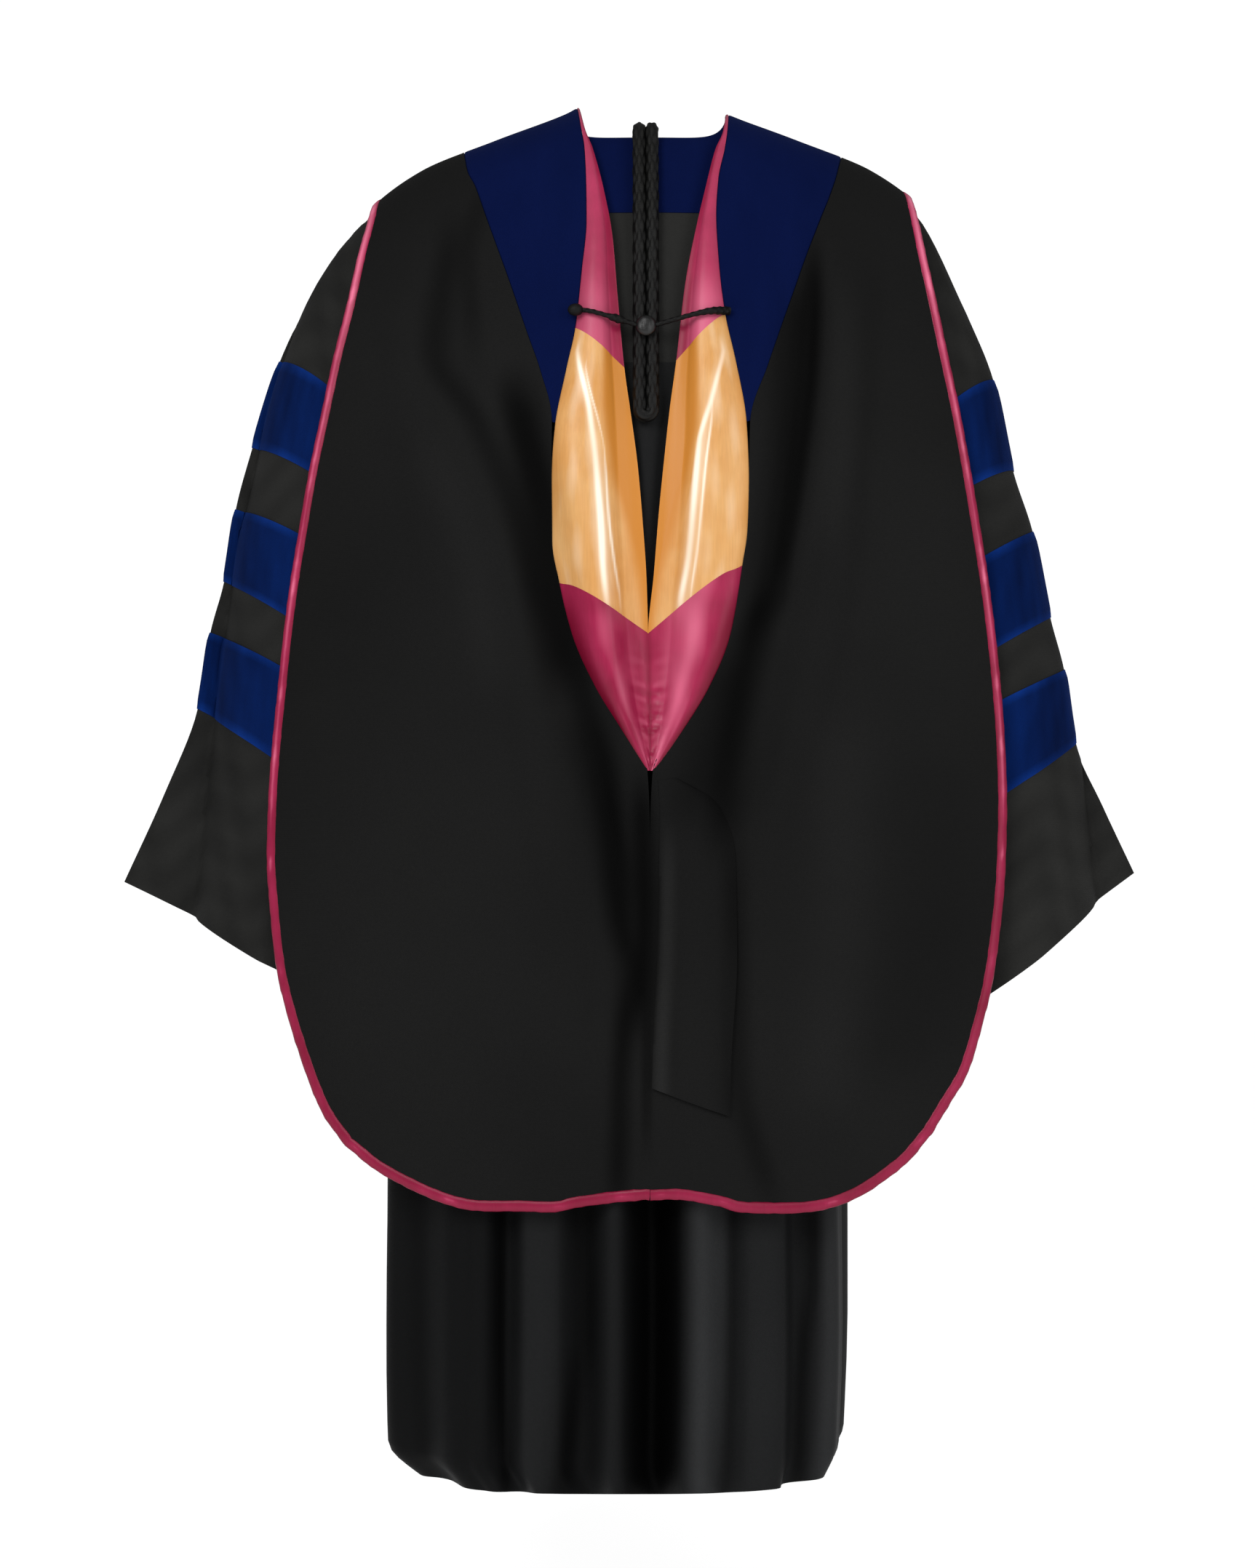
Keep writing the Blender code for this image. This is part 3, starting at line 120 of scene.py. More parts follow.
# Mesh counts
PATH_SAMPLES = 160
NECK_SEARCH_STEPS = 30
FINE = 4
ROW_STEPS = 8
LINING_ROW_STEPS = 20
FINE_SHELL_COLUMNS = 110
FINE_VELVET_COLUMNS = 24
FINE_LINING_COLUMNS = 60
SLEEVE_TURN_STEPS = 4
SLEEVE_ROW_STEPS = 8
YOKE_NECK_COLUMNS = 14
YOKE_ARMHOLE_COLUMNS = 5
YOKE_CROWDING = 1.7
BACK_COLUMNS = 46
FRONT_COLUMNS = 13
FACING_COLUMNS = 3

# Steps along the hood's edge between two of its rows
EDGE_STEPS = 8

# Hood edging and cords
EDGING_HALF_WIDTH = 0.0055
EDGING_HALF_THICKNESS = 0.0019
LOOP_CORD_RADIUS = 0.0059
BRAID_RADIUS = 0.0069
LOOP_CORD_SPREAD = 0.0062
LOOP_CORD_STEP = 0.013
LOOP_END_Z = -0.268
LOOP_SWELL = 0.004
HOOD_CORD_RADIUS = 0.0022
KNOT_RADIUS = 0.0066
KNOT_REST = 0.0022
KNOT_SHAPE = (1.15, 1.0, 0.9)
# Where the thin cord starts in the knot and ends in the button, as shares of their radii
CORD_INTO_KNOT = 0.8
CORD_INTO_BUTTON = 0.97
THIN_CORD_SPACING = 0.006
CREST_SHARE = 0.74
CORD_REST = 0.0006
INSIDE_CORD_LENGTH = 0.018
BUTTON_RADIUS = 0.01
BUTTON_FLATNESS = 0.55
BUTTON_Z = -0.1805
BUTTON_X = -0.0014
# Where the hood's thin cord is sewn on, at each side
LEFT_CORD_X = -0.0685
LEFT_CORD_Z = -0.167
RIGHT_CORD_X = 0.078
RIGHT_CORD_Z = -0.166


def named_rows(kind, rows):
    """A table's rows with a name for each of their numbers."""
    return [kind(*row) for row in rows]


GownSection = namedtuple("GownSection", "height half_width back front boxiness centre")
GOWN_SECTIONS = named_rows(GownSection, [
    (HEM_Z, 0.204, 0.157, 0.139, 3.2, -0.023),
    (HEM_TURN_Z, 0.228, 0.157, 0.139, 3.2, -0.031),
    (-1.15, 0.231, 0.156, 0.138, 3.2, -0.03),
    (-1.05, 0.231, 0.155, 0.137, 3.1, -0.03),
    (-0.9, 0.229, 0.152, 0.133, 3.0, -0.028),
    (-0.6, 0.226, 0.147, 0.128, 2.7, -0.012),
    (UNDERARM_Z, 0.222, 0.139, 0.121, 2.4, 0.0),
    (YOKE_SEAM_Z, 0.244, 0.133, 0.116, 2.3, 0.0),
    (-0.16, 0.26, 0.127, 0.11, 2.2, 0.0),
    (-0.1, 0.27, 0.116, 0.098, 2.1, 0.0),
    (-0.04, 0.25, 0.098, 0.086, 2.0, 0.0),
    (SHOULDER_TIP_Z, SHOULDER_HALF_WIDTH, 0.081, 0.07, 2.0, 0.0),
    (NECK_POINT_Z, NECK_HALF_WIDTH, 0.051, 0.046, 2.0, 0.0),
])

# How far the armhole's edge stands from the middle at each height
ArmholePlace = namedtuple("ArmholePlace", "height x")
ARMHOLE = named_rows(ArmholePlace, [
    (-0.255, 0.214),
    (YOKE_SEAM_Z, 0.199),
    (-0.15, 0.189),
    (-0.09, 0.19),
    (-0.04, 0.1985),
    (SHOULDER_TIP_Z, SHOULDER_HALF_WIDTH),
])

# Folds that hang from the yoke. Place runs 0 at the middle back, 1 at a side seam, 2 at the middle front
GownFold = namedtuple("GownFold", "place half_width depth")
GOWN_FOLDS = named_rows(GownFold, [
    (-0.6, 0.075, 0.01),
    (-0.325, 0.04, 0.018),
    (-0.1, 0.05, 0.014),
    (0.105, 0.06, 0.032),
    (0.325, 0.045, 0.012),
    (0.565, 0.055, 0.018),
    (-0.86, 0.07, 0.008),
    (0.84, 0.07, 0.008),
    (1.16, 0.08, 0.009),
    (-1.17, 0.08, 0.01),
    (1.38, 0.08, 0.01),
    (-1.37, 0.07, 0.009),
    (1.58, 0.07, 0.007),
    (-1.57, 0.075, 0.008),
])
FOLDS_FULL_Z = -1.1
# A fold's own shape in half widths: how far its trough reaches, and the low rim at each side
Trough = namedtuple("Trough", "reach rim_share rim_place rim_reach")
GOWN_TROUGH = Trough(1.5, 0.35, 1.8, 1.2)
HOOD_TROUGH = Trough(1.6, 0.45, 2.1, 1.3)
CREASE_TROUGH = Trough(1.5, 0.4, 2.2, 1.5)
# The yoke's gathers start just below its seam and run out down the skirt
GATHER_START = 0.06
GATHER_FULL_Z = -0.35
GATHER_END_Z = -1.0
YOKE_GATHERS = 14
YOKE_GATHER_DEPTH = 0.0028

SleeveSection = namedtuple("SleeveSection", "outer_x outer_z inner_x inner_z slope back front")
LEFT_SLEEVE = named_rows(SleeveSection, [
    (0.21, SHOULDER_TIP_Z, 0.222, -0.28, 0.3, 0.08, 0.08),
    (0.281, -0.037, 0.233, -0.288, 0.3, 0.084, 0.088),
    (0.335, -0.113, 0.241, -0.296, 0.35, 0.086, 0.093),
    (0.374, -0.19, 0.246, -0.306, 0.4, 0.087, 0.096),
    (0.402, -0.278, 0.249, -0.38, 0.37, 0.088, 0.098),
    (0.419, -0.341, 0.251, -0.44, 0.32, 0.089, 0.1),
    (0.431, -0.415, 0.254, -0.53, 0.46, 0.09, 0.102),
    (0.445, -0.467, 0.257, -0.575, 0.36, 0.09, 0.104),
    (0.458, -0.545, 0.262, -0.67, 0.52, 0.09, 0.107),
    (0.492, -0.632, 0.268, -0.765, 0.5, 0.09, 0.112),
    (0.533, -0.722, 0.276, -0.852, 0.48, 0.09, 0.118),
])
RIGHT_SLEEVE = named_rows(SleeveSection, [
    (0.21, SHOULDER_TIP_Z, 0.222, -0.28, 0.3, 0.08, 0.08),
    (0.278, -0.049, 0.232, -0.29, 0.3, 0.084, 0.088),
    (0.325, -0.145, 0.237, -0.302, 0.32, 0.086, 0.093),
    (0.353, -0.213, 0.24, -0.316, 0.32, 0.087, 0.096),
    (0.373, -0.304, 0.241, -0.39, 0.3, 0.088, 0.098),
    (0.393, -0.365, 0.241, -0.46, 0.45, 0.088, 0.1),
    (0.411, -0.452, 0.242, -0.56, 0.46, 0.089, 0.102),
    (0.425, -0.505, 0.243, -0.602, 0.38, 0.09, 0.104),
    (0.437, -0.579, 0.245, -0.7, 0.62, 0.09, 0.107),
    (0.466, -0.645, 0.248, -0.795, 0.66, 0.09, 0.112),
    (0.498, -0.713, 0.254, -0.89, 0.74, 0.09, 0.118),
])
# Each velvet bar covers the sleeve between two of its sections
SLEEVE_BARS = [(3, 4), (5, 6), (7, 8)]
SLEEVE_FLUTES = 7
SLEEVE_FLUTE_DEPTH = 0.0024
# The flutes start at this section, and move the sleeve's sides by a share of their depth
FLUTE_FIRST_ROW = 4
FLUTE_TURN = 0.6
FLUTE_SIDE_SHARE = 0.4
# How much of the armhole's shape the sleeve's second ring keeps
ARMHOLE_SHARE = 0.28
HOOD_CLEARANCE = 0.0075
SHOULDER_CLEARANCE = 0.006
# How far the sleeve may stand out in front, below the hood's front
FRONT_FREEDOM = 0.06
# How far a sleeve's first ring stands off the armhole at the shoulder tip, and how much more below it
ARMHOLE_OFFSET = 0.0006
UNDERARM_OFFSET = 0.0018

HoodSection = namedtuple("HoodSection", "height half_width back front")
HOOD_SECTIONS = named_rows(HoodSection, [
    (-1.1, 0.5, 0.186, 0.16),
    (-0.9, 0.475, 0.178, 0.156),
    (-0.6, 0.445, 0.171, 0.15),
    (-0.4, 0.42, 0.165, 0.145),
    (-0.3, 0.4, 0.16, 0.141),
    (-0.2, 0.375, 0.15, 0.133),
    (-0.1, 0.335, 0.133, 0.116),
    (-0.035, 0.28, 0.114, 0.101),
    (0.0, 0.232, 0.1, 0.089),
    (0.028, 0.162, 0.086, 0.075),
    (0.058, 0.085, 0.058, 0.052),
    (0.066, 0.071, 0.048, 0.044),
    (0.085, 0.001, 0.03, 0.028),
])

# One row across the hood: its rim, the velvet's outer seam, the fold where velvet meets lining,
# and the lining's inner edge, each as a distance from the middle and a height
HoodRow = namedtuple(
    "HoodRow", "side rim_x rim_z seam_x seam_z fold_x fold_z core_x core_z", defaults=[0.0] * 4
)
FRONT_ROWS = named_rows(HoodRow, [
    (-1, 0.0, -0.29, 0.0, -0.262, 0.0, -0.175),
    (-1, 0.066, -0.243, 0.05, -0.215, 0.024, -0.125),
    (-1, 0.14, -0.17, 0.105, -0.135, 0.046, -0.065),
    (-1, 0.215, -0.1, 0.152, -0.055, 0.062, -0.005),
])
LEFT_ROWS = FRONT_ROWS + named_rows(HoodRow, [
    (0, 0.272, 0.0, 0.185, 0.0, 0.0705, 0.0, 0.069, 0.0),
    (1, 0.276, -0.058, 0.1785, -0.012, 0.066, 0.035, 0.0625, 0.033),
    (1, 0.283, -0.095, 0.17, -0.031, 0.0615, 0.005, 0.053, 0.003),
    (1, 0.293, -0.148, 0.16, -0.06, 0.0595, -0.035, 0.0425, -0.04),
    (1, 0.305, -0.199, 0.149, -0.091, 0.059, -0.075, 0.034, -0.088),
    (1, 0.317, -0.258, 0.131, -0.142, 0.0635, -0.125, 0.029, -0.148),
    (1, 0.329, -0.316, 0.1165, -0.185, 0.0695, -0.182, 0.0225, -0.219),
    (1, 0.338, -0.37, 0.103, -0.224, 0.078, -0.222, 0.0165, -0.262),
    (1, 0.347, -0.425, 0.0915, -0.274, 0.088, -0.275, 0.0095, -0.315),
    (1, 0.354, -0.48, 0.0925, -0.335, 0.0925, -0.335, 0.0045, -0.372),
    (1, 0.359, -0.53, 0.0925, -0.386, 0.0925, -0.386, 0.001, -0.425),
    (1, 0.3635, -0.575, 0.0855, -0.428, 0.0855, -0.428, 0.0, -0.477),
    (1, 0.3675, -0.63, 0.073, -0.48, 0.073, -0.48, 0.0, -0.515),
    (1, 0.369, -0.69, 0.053, -0.526, 0.053, -0.526, 0.0, -0.55),
    (1, 0.365, -0.745, 0.028, -0.568, 0.028, -0.568, 0.0, -0.582),
    (1, 0.358, -0.8, 0.0025, -0.609, 0.0025, -0.609, 0.0, -0.609),
    (1, 0.347, -0.843, 0.0, -0.68),
    (1, 0.328, -0.898, 0.0, -0.78),
    (1, 0.31, -0.938, 0.0, -0.89),
    (1, 0.288, -0.967, 0.0, -1.0115),
])
RIGHT_ROWS = FRONT_ROWS + named_rows(HoodRow, [
    (0, 0.262, 0.0, 0.198, 0.0, 0.083, 0.0, 0.081, 0.0),
    (1, 0.2665, -0.05, 0.19, -0.012, 0.08, 0.03, 0.076, 0.028),
    (1, 0.2715, -0.09, 0.181, -0.04, 0.0765, 0.005, 0.067, 0.003),
    (1, 0.281, -0.142, 0.17, -0.068, 0.0695, -0.03, 0.0575, -0.036),
    (1, 0.291, -0.195, 0.158, -0.1, 0.067, -0.07, 0.0475, -0.08),
    (1, 0.303, -0.255, 0.142, -0.145, 0.0695, -0.12, 0.037, -0.135),
    (1, 0.313, -0.312, 0.13, -0.178, 0.075, -0.168, 0.028, -0.212),
    (1, 0.3215, -0.365, 0.115, -0.22, 0.085, -0.215, 0.0215, -0.26),
    (1, 0.33, -0.42, 0.098, -0.273, 0.0945, -0.274, 0.0165, -0.305),
    (1, 0.337, -0.475, 0.0965, -0.33, 0.0965, -0.33, 0.0105, -0.365),
    (1, 0.342, -0.525, 0.095, -0.378, 0.095, -0.378, 0.006, -0.42),
    (1, 0.3455, -0.573, 0.09, -0.413, 0.09, -0.413, 0.0, -0.477),
    (1, 0.3475, -0.637, 0.0765, -0.484, 0.0765, -0.484, 0.0, -0.515),
    (1, 0.345, -0.708, 0.058, -0.527, 0.058, -0.527, 0.0, -0.55),
    (1, 0.339, -0.765, 0.033, -0.568, 0.033, -0.568, 0.0, -0.582),
    (1, 0.331, -0.814, 0.0025, -0.609, 0.0025, -0.609, 0.0, -0.609),
    (1, 0.321, -0.852, 0.0, -0.68),
    (1, 0.306, -0.898, 0.0, -0.78),
    (1, 0.288, -0.927, 0.0, -0.89),
    (1, 0.27, -0.955, 0.0, -1.0115),
])
RIDGE_ROW = 4
SATIN_SEAM_ROW = 10
VELVET_LAST_ROW = 12
GOLD_LAST_ROW = 15
LINING_LAST_ROW = 19

# The hood's lower edge, from its round corner to the middle
HemPlace = namedtuple("HemPlace", "x z")
LEFT_HOOD_HEM = named_rows(HemPlace, [
    (0.288, -0.967),
    (0.259, -0.988),
    (0.216, -1.009),
    (0.167, -1.023),
    (0.12, -1.023),
    (0.07, -1.019),
    (0.03, -1.014),
    (0.0, -1.0115),
])
RIGHT_HOOD_HEM = named_rows(HemPlace, [
    (0.27, -0.955),
    (0.245, -0.982),
    (0.201, -1.011),
    (0.155, -1.024),
    (0.11, -1.025),
    (0.07, -1.018),
    (0.03, -1.011),
    (0.0, -1.0115),
])

# Soft troughs in the hood's black panel, each down through three places
HoodFold = namedtuple("HoodFold", "top_x top_z mid_x mid_z end_x end_z half_width depth")
HOOD_FOLDS = named_rows(HoodFold, [
    (-0.203, -0.1, -0.178, -0.29, -0.135, -0.48, 0.024, 0.006),
    (-0.135, -0.25, -0.082, -0.47, -0.03, -0.76, 0.024, 0.01),
    (0.164, -0.1, 0.14, -0.4, 0.078, -0.67, 0.022, 0.01),
    (0.003, -0.66, 0.0, -0.79, -0.002, -0.93, 0.022, 0.01),
    (-0.04, -0.86, -0.036, -0.94, -0.034, -1.02, 0.024, 0.006),
    (0.084, -0.87, 0.1, -0.94, 0.118, -1.02, 0.026, 0.006),
])

# The hood's tail strip hangs over its middle: left edge, right edge
TailRow = namedtuple("TailRow", "left_x left_z right_x right_z")
TAIL_ROWS = named_rows(TailRow, [
    (0.01, -0.618, 0.028, -0.616),
    (0.0114, -0.65, 0.07, -0.644),
    (0.011, -0.7, 0.084, -0.694),
    (0.0095, -0.778, 0.085, -0.786),
    (0.0055, -0.86, 0.08, -0.874),
    (0.004, -0.911, 0.078, -0.938),
])
TAIL_LIFT = 0.0042
TAIL_REST = 0.0014
TAIL_THICKNESS = 0.001

LINING_BULGE = 0.011
LINING_TURN = 0.0075
PUCKER = 0.001
FRONT_TONE = 1.5
# How far the hem hangs down in a trough, as a share of the trough's depth
HEM_DROP = 0.284
SKIRT_TONE = 0.66
YOKE_TONE = 1.3
SHARP_ANGLE = math.radians(55)
THREADS_TO_THE_METRE = 900.0

# Creases down the cloth through places (x, z): a tone under 1 paints shade into the trough, and a negative
# depth with a tone over 1 raises a ridge and paints light on it
Crease = namedtuple("Crease", "half_width depth tone places")
CREASE_FADE = 0.035
HOOD_CREASES = named_rows(Crease, [
    (0.012, 0.0014, 0.7, [(-0.16, -0.03), (-0.176, -0.11), (-0.17, -0.19)]),
    (0.016, 0.0024, 0.5, [(-0.191, -0.077), (-0.206, -0.199), (-0.164, -0.274), (-0.126, -0.368),
                                 (-0.101, -0.463)]),
    (0.014, 0.003, 0.38, [(-0.131, -0.246), (-0.093, -0.368), (-0.0655, -0.527), (-0.037, -0.639),
                                 (-0.028, -0.752), (-0.012, -0.8)]),
    (0.024, 0.001, 0.22, [(-0.125, -0.235), (-0.112, -0.32), (-0.098, -0.42), (-0.08, -0.527)]),
    (0.024, 0.001, 0.42, [(-0.06, -0.56), (-0.038, -0.66), (-0.02, -0.74)]),
    (0.009, 0.0022, 0.5, [(-0.046, -0.62), (-0.03, -0.69), (-0.018, -0.771)]),
    (0.014, 0.0036, 0.1, [(-0.006, -0.622), (-0.003, -0.741), (-0.008, -0.85)]),
    (0.012, 0.0022, 0.3, [(-0.018, -0.815), (-0.026, -0.915), (-0.029, -1.02)]),
    (0.006, 0.0014, 0.45, [(-0.001, -0.83), (-0.0012, -0.96)]),
    (0.009, 0.004, 0.15, [(0.164, -0.105), (0.159, -0.208), (0.145, -0.32), (0.1265, -0.433)]),
    (0.024, 0.002, 0.48, [(0.152, -0.14), (0.14, -0.26), (0.126, -0.36), (0.112, -0.44)]),
    (0.017, 0.004, 0.14, [(0.122, -0.43), (0.112, -0.455), (0.103, -0.48)]),
    (0.019, 0.0036, 0.38, [(0.112, -0.445), (0.091, -0.527), (0.081, -0.602), (0.072, -0.677)]),
    (0.03, 0.001, 0.48, [(0.086, -0.5), (0.066, -0.57), (0.042, -0.65)]),
    (0.014, 0.0022, 0.55, [(0.083, -0.69), (0.084, -0.79), (0.086, -0.892), (0.117, -1.015)]),
    # From here on: three low ridges with painted light, then a wide shallow hollow with painted shade
    (0.02, -0.0024, 1.25, [(0.187, -0.13), (0.186, -0.26), (0.172, -0.38)]),
    (0.022, -0.001, 1.2, [(-0.205, -0.3), (-0.17, -0.4), (-0.15, -0.52)]),
    (0.035, -0.001, 1.25, [(0.19, -0.56), (0.185, -0.76), (0.17, -0.93)]),
    (0.05, 0.001, 0.85, [(0.285, -0.6), (0.275, -0.76), (0.235, -0.9)]),
])
SKIRT_CREASES = named_rows(Crease, [
    (0.011, 0.001, 0.75, [(-0.226, -0.9), (-0.224, -1.16), (-0.214, -1.32)]),
    (0.008, 0.003, 0.3, [(-0.14, -0.9), (-0.142, -1.16), (-0.136, -1.32)]),
    (0.012, 0.003, 0.4, [(-0.074, -0.9), (-0.059, -1.14), (-0.07, -1.215), (-0.086, -1.32)]),
    (0.034, 0.001, 0.05, [(0.01, -0.9), (0.008, -1.16), (0.005, -1.32)]),
    (0.007, 0.0015, 0.6, [(0.082, -0.9), (0.08, -1.16), (0.074, -1.32)]),
    (0.009, 0.003, 0.4, [(0.155, -0.9), (0.163, -1.09), (0.151, -1.18), (0.147, -1.32)]),
    # The rows above are troughs with painted shade; from here on they are ridges with painted light
    (0.012, -0.001, 1.5, [(-0.205, -0.9), (-0.205, -1.16), (-0.196, -1.32)]),
    (0.03, -0.001, 2.55, [(-0.106, -0.9), (-0.104, -1.14), (-0.112, -1.24), (-0.12, -1.32)]),
    (0.019, -0.002, 2.1, [(-0.036, -0.9), (-0.03, -1.16), (-0.036, -1.32)]),
    (0.021, -0.002, 4.6, [(0.056, -0.9), (0.054, -1.16), (0.047, -1.32)]),
    (0.028, -0.001, 1.45, [(0.115, -0.9), (0.112, -1.16), (0.106, -1.32)]),
    (0.014, -0.001, 2.6, [(0.178, -0.9), (0.181, -1.16), (0.172, -1.32)]),
])

# Painted highlight lines down the gold satin through places (z, share of the way to its inner edge)
PaintedHighlightLine = namedtuple("PaintedHighlightLine", "hand half_width gain places")
PAINTED_HIGHLIGHT_LINES = named_rows(PaintedHighlightLine, [
    (-1, 0.034, 1.0, [(-0.205, 0.12), (-0.265, 0.41), (-0.324, 0.51), (-0.374, 0.54), (-0.445, 0.55)]),
    (-1, 0.09, 0.35, [(-0.205, 0.14), (-0.265, 0.4), (-0.324, 0.52), (-0.374, 0.55), (-0.445, 0.57)]),
    (-1, 0.013, 0.85, [(-0.222, 0.3), (-0.304, 0.6), (-0.374, 0.63), (-0.44, 0.7)]),
    (1, 0.034, 0.95, [(-0.205, 0.17), (-0.255, 0.43), (-0.295, 0.59), (-0.344, 0.61), (-0.404, 0.63),
                               (-0.445, 0.66)]),
    (1, 0.09, 0.3, [(-0.205, 0.2), (-0.255, 0.41), (-0.295, 0.55), (-0.344, 0.58), (-0.445, 0.62)]),
    (1, 0.014, 0.8, [(-0.26, 0.42), (-0.32, 0.5), (-0.4, 0.54), (-0.43, 0.55)]),
])


def smooth_curve(places, values):
    """A smooth function through the values that never overshoots between two of them."""
    places = np.asarray(places, float)
    values = np.asarray(values, float)
    steps = np.diff(values) / np.diff(places)
    slopes = np.zeros_like(values)
    slopes[0] = steps[0]
    slopes[-1] = steps[-1]
    for i in range(1, len(values) - 1):
        if steps[i - 1] * steps[i] > 0:
            slopes[i] = 2 * steps[i - 1] * steps[i] / (steps[i - 1] + steps[i])

    def read(place):
        place = np.clip(place, places[0], places[-1])
        i = np.clip(np.searchsorted(places, place, side="right") - 1, 0, len(places) - 2)
        width = places[i + 1] - places[i]
        t = (place - places[i]) / width
        rise = 2 * t**3 - 3 * t**2
        return (
            values[i] * (rise + 1)
            - values[i + 1] * rise
            + slopes[i] * width * (t**3 - 2 * t**2 + t)
            + slopes[i + 1] * width * (t**3 - t**2)
        )

    return read


def column(rows, name):
    return np.array([getattr(row, name) for row in rows], float)


def section_curves(sections):
    heights = column(sections, "height")
    names = [name for name in sections[0]._fields if name != "height"]
    return {name: smooth_curve(heights, column(sections, name)) for name in names}


GOWN = section_curves(GOWN_SECTIONS)
HOOD = section_curves(HOOD_SECTIONS)
ARMHOLE_X = smooth_curve(column(ARMHOLE, "height"), column(ARMHOLE, "x"))
RIDGE_HEIGHTS = np.linspace(0.085, -0.6, 2000)
RIDGE_WIDTHS = HOOD["half_width"](RIDGE_HEIGHTS)


def unit(vectors):
    length = np.linalg.norm(vectors, axis=-1, keepdims=True)
    return vectors / np.maximum(length, 1e-12)


def run_lengths(points):
    """The distance along a path at each of its points."""
    steps = np.linalg.norm(np.diff(points, axis=0), axis=1)
    return np.concatenate([[0], np.cumsum(steps)])


def bump(distance):
    """A soft rounded ridge of height 1 that ends at distance 1."""
    near = np.clip(np.abs(distance), 0, 1)
    return np.cos(near * math.pi / 2) ** 2


def ease(start, end, value):
    t = np.clip((value - start) / (end - start), 0, 1)
    return t * t * (3 - 2 * t)


def edge_shares(count):
    """Shares from 0 to 1 with a few more close to both ends."""
    middle = np.linspace(0.05, 0.95, count - 3)
    return np.concatenate([[0, 0.012, 0.028], middle, [0.972, 0.988, 1]])


def round_curve(points, places):
    """A smooth closed curve through the points, read at places counted in points."""
    count = len(points)
    i = np.floor(places).astype(int)
    t = (places - i)[:, None]
    before, start, end, after = [points[(i + k) % count] for k in (-1, 0, 1, 2)]
    return 0.5 * (
        2 * start
        + (end - before) * t
        + (2 * before - 5 * start + 4 * end - after) * t**2
        + (3 * start - before - 3 * end + after) * t**3
    )


def fine_rows(table, steps):
    """A table's rows with smoothly placed rows between them, each with its number."""
    numbers = np.arange(len(table))
    reads = [smooth_curve(numbers, column(table, name)) for name in table[0]._fields]
    places = np.linspace(0, len(table) - 1, (len(table) - 1) * steps + 1)
    kind = type(table[0])
    return [(place, kind(*[float(read(place)) for read in reads])) for place in places]


def shell_depth(curves, x, z, side):
    """How far a section stands from the X axis at x: side is 1 at the back and -1 in front."""
    power = curves["boxiness"](z) if "boxiness" in curves else 2.0
    centre = curves["centre"](z) if "centre" in curves else 0.0
    depth = np.where(side > 0, curves["back"](z), curves["front"](z))
    share = np.clip(np.abs(x - centre) / curves["half_width"](z), 0, 1)
    return -side * depth * (1 - share**power) ** (1 / power)


def shell_normal(curves, x, z, side):
    """The outward direction of a section at x, from the change in its own formula."""
    step = 1e-4

    def level(at_x, at_y, at_z):
        power = curves["boxiness"](at_z) if "boxiness" in curves else 2.0
        centre = curves["centre"](at_z) if "centre" in curves else 0.0
        depth = np.where(side > 0, curves["back"](at_z), curves["front"](at_z))
        across = np.abs(at_x - centre) / curves["half_width"](at_z)
        return across**power + (np.abs(at_y) / depth) ** power

    y = shell_depth(curves, x, z, side)
    along_x = level(x + step, y, z) - level(x - step, y, z)
    along_y = level(x, y + step, z) - level(x, y - step, z)
    along_z = level(x, y, z + step) - level(x, y, z - step)
    return unit(np.stack([along_x, along_y, along_z], axis=-1))


def gown_ridge(x):
    """Height of the shoulder line above x."""
    share = (np.clip(np.abs(x), NECK_HALF_WIDTH, SHOULDER_HALF_WIDTH) - NECK_HALF_WIDTH) / (
        SHOULDER_HALF_WIDTH - NECK_HALF_WIDTH
    )
    return NECK_POINT_Z + (SHOULDER_TIP_Z - NECK_POINT_Z) * share


def gown_drop(x, z):
    """0 on the shoulder line and 1 at the hem, spaced closer near the shoulder."""
    ridge = gown_ridge(x)
    return np.sqrt(np.clip((ridge - z) / (ridge - HEM_Z), 0, 1))


def gown_height(x, drop):
    ridge = gown_ridge(x)
    return ridge - drop**2 * (ridge - HEM_Z)


def trough_height(off, trough):
    """Height of a trough of depth 1, with a low rim beside it, at a distance in half widths."""
    rim = trough.rim_share * bump((off - trough.rim_place) / trough.rim_reach)
    return rim - bump(off / trough.reach)


def gown_folds(place, z):
    """Height of the folds: the yoke's gathers, and larger folds that deepen to the hem."""
    depth = np.zeros(np.broadcast(place, z).shape)
    grown = ease(YOKE_SEAM_Z, FOLDS_FULL_Z, z)
    for fold in GOWN_FOLDS:
        off = np.abs(place - fold.place) / fold.half_width
        depth = depth + fold.depth * grown * trough_height(off, GOWN_TROUGH)
    gather = np.cos(place * YOKE_GATHERS * math.pi) * YOKE_GATHER_DEPTH
    held = ease(YOKE_SEAM_Z, YOKE_SEAM_Z - GATHER_START, z) * (1 - ease(GATHER_FULL_Z, GATHER_END_Z, z))
    held = held * (1 - ease(0.75, 0.95, np.abs(place)))
    return depth + gather * held


def gown_point(x, z, side, place=None, lift=0.0):
    """Points of the gown's cloth and their outward directions."""
    y = shell_depth(GOWN, x, z, side)
    normal = shell_normal(GOWN, x, z, side)
    point = np.stack([x, y, z], axis=-1)
    if place is not None:
        near_seam = 1 - ease(0.93, 1.0, 1 - np.abs(np.abs(place) - 1))
        near_middle = ease(0.0, 0.35, 2 - np.abs(place))
        lift = lift + gown_folds(place, z) * near_seam * near_middle
    point = point + normal * np.asarray(lift)[..., None]
    return point, normal


def spread(path, first, last, shares=(0, 1)):
    """Places at shares of the way along a path between two of them, and the path's length."""
    bent = np.sin(np.linspace(0, 1, PATH_SAMPLES) * math.pi / 2)
    x = first + (last - first) * bent
    lengths = run_lengths(path(x))
    return np.interp(np.asarray(shares) * lengths[-1], lengths, x), lengths[-1]


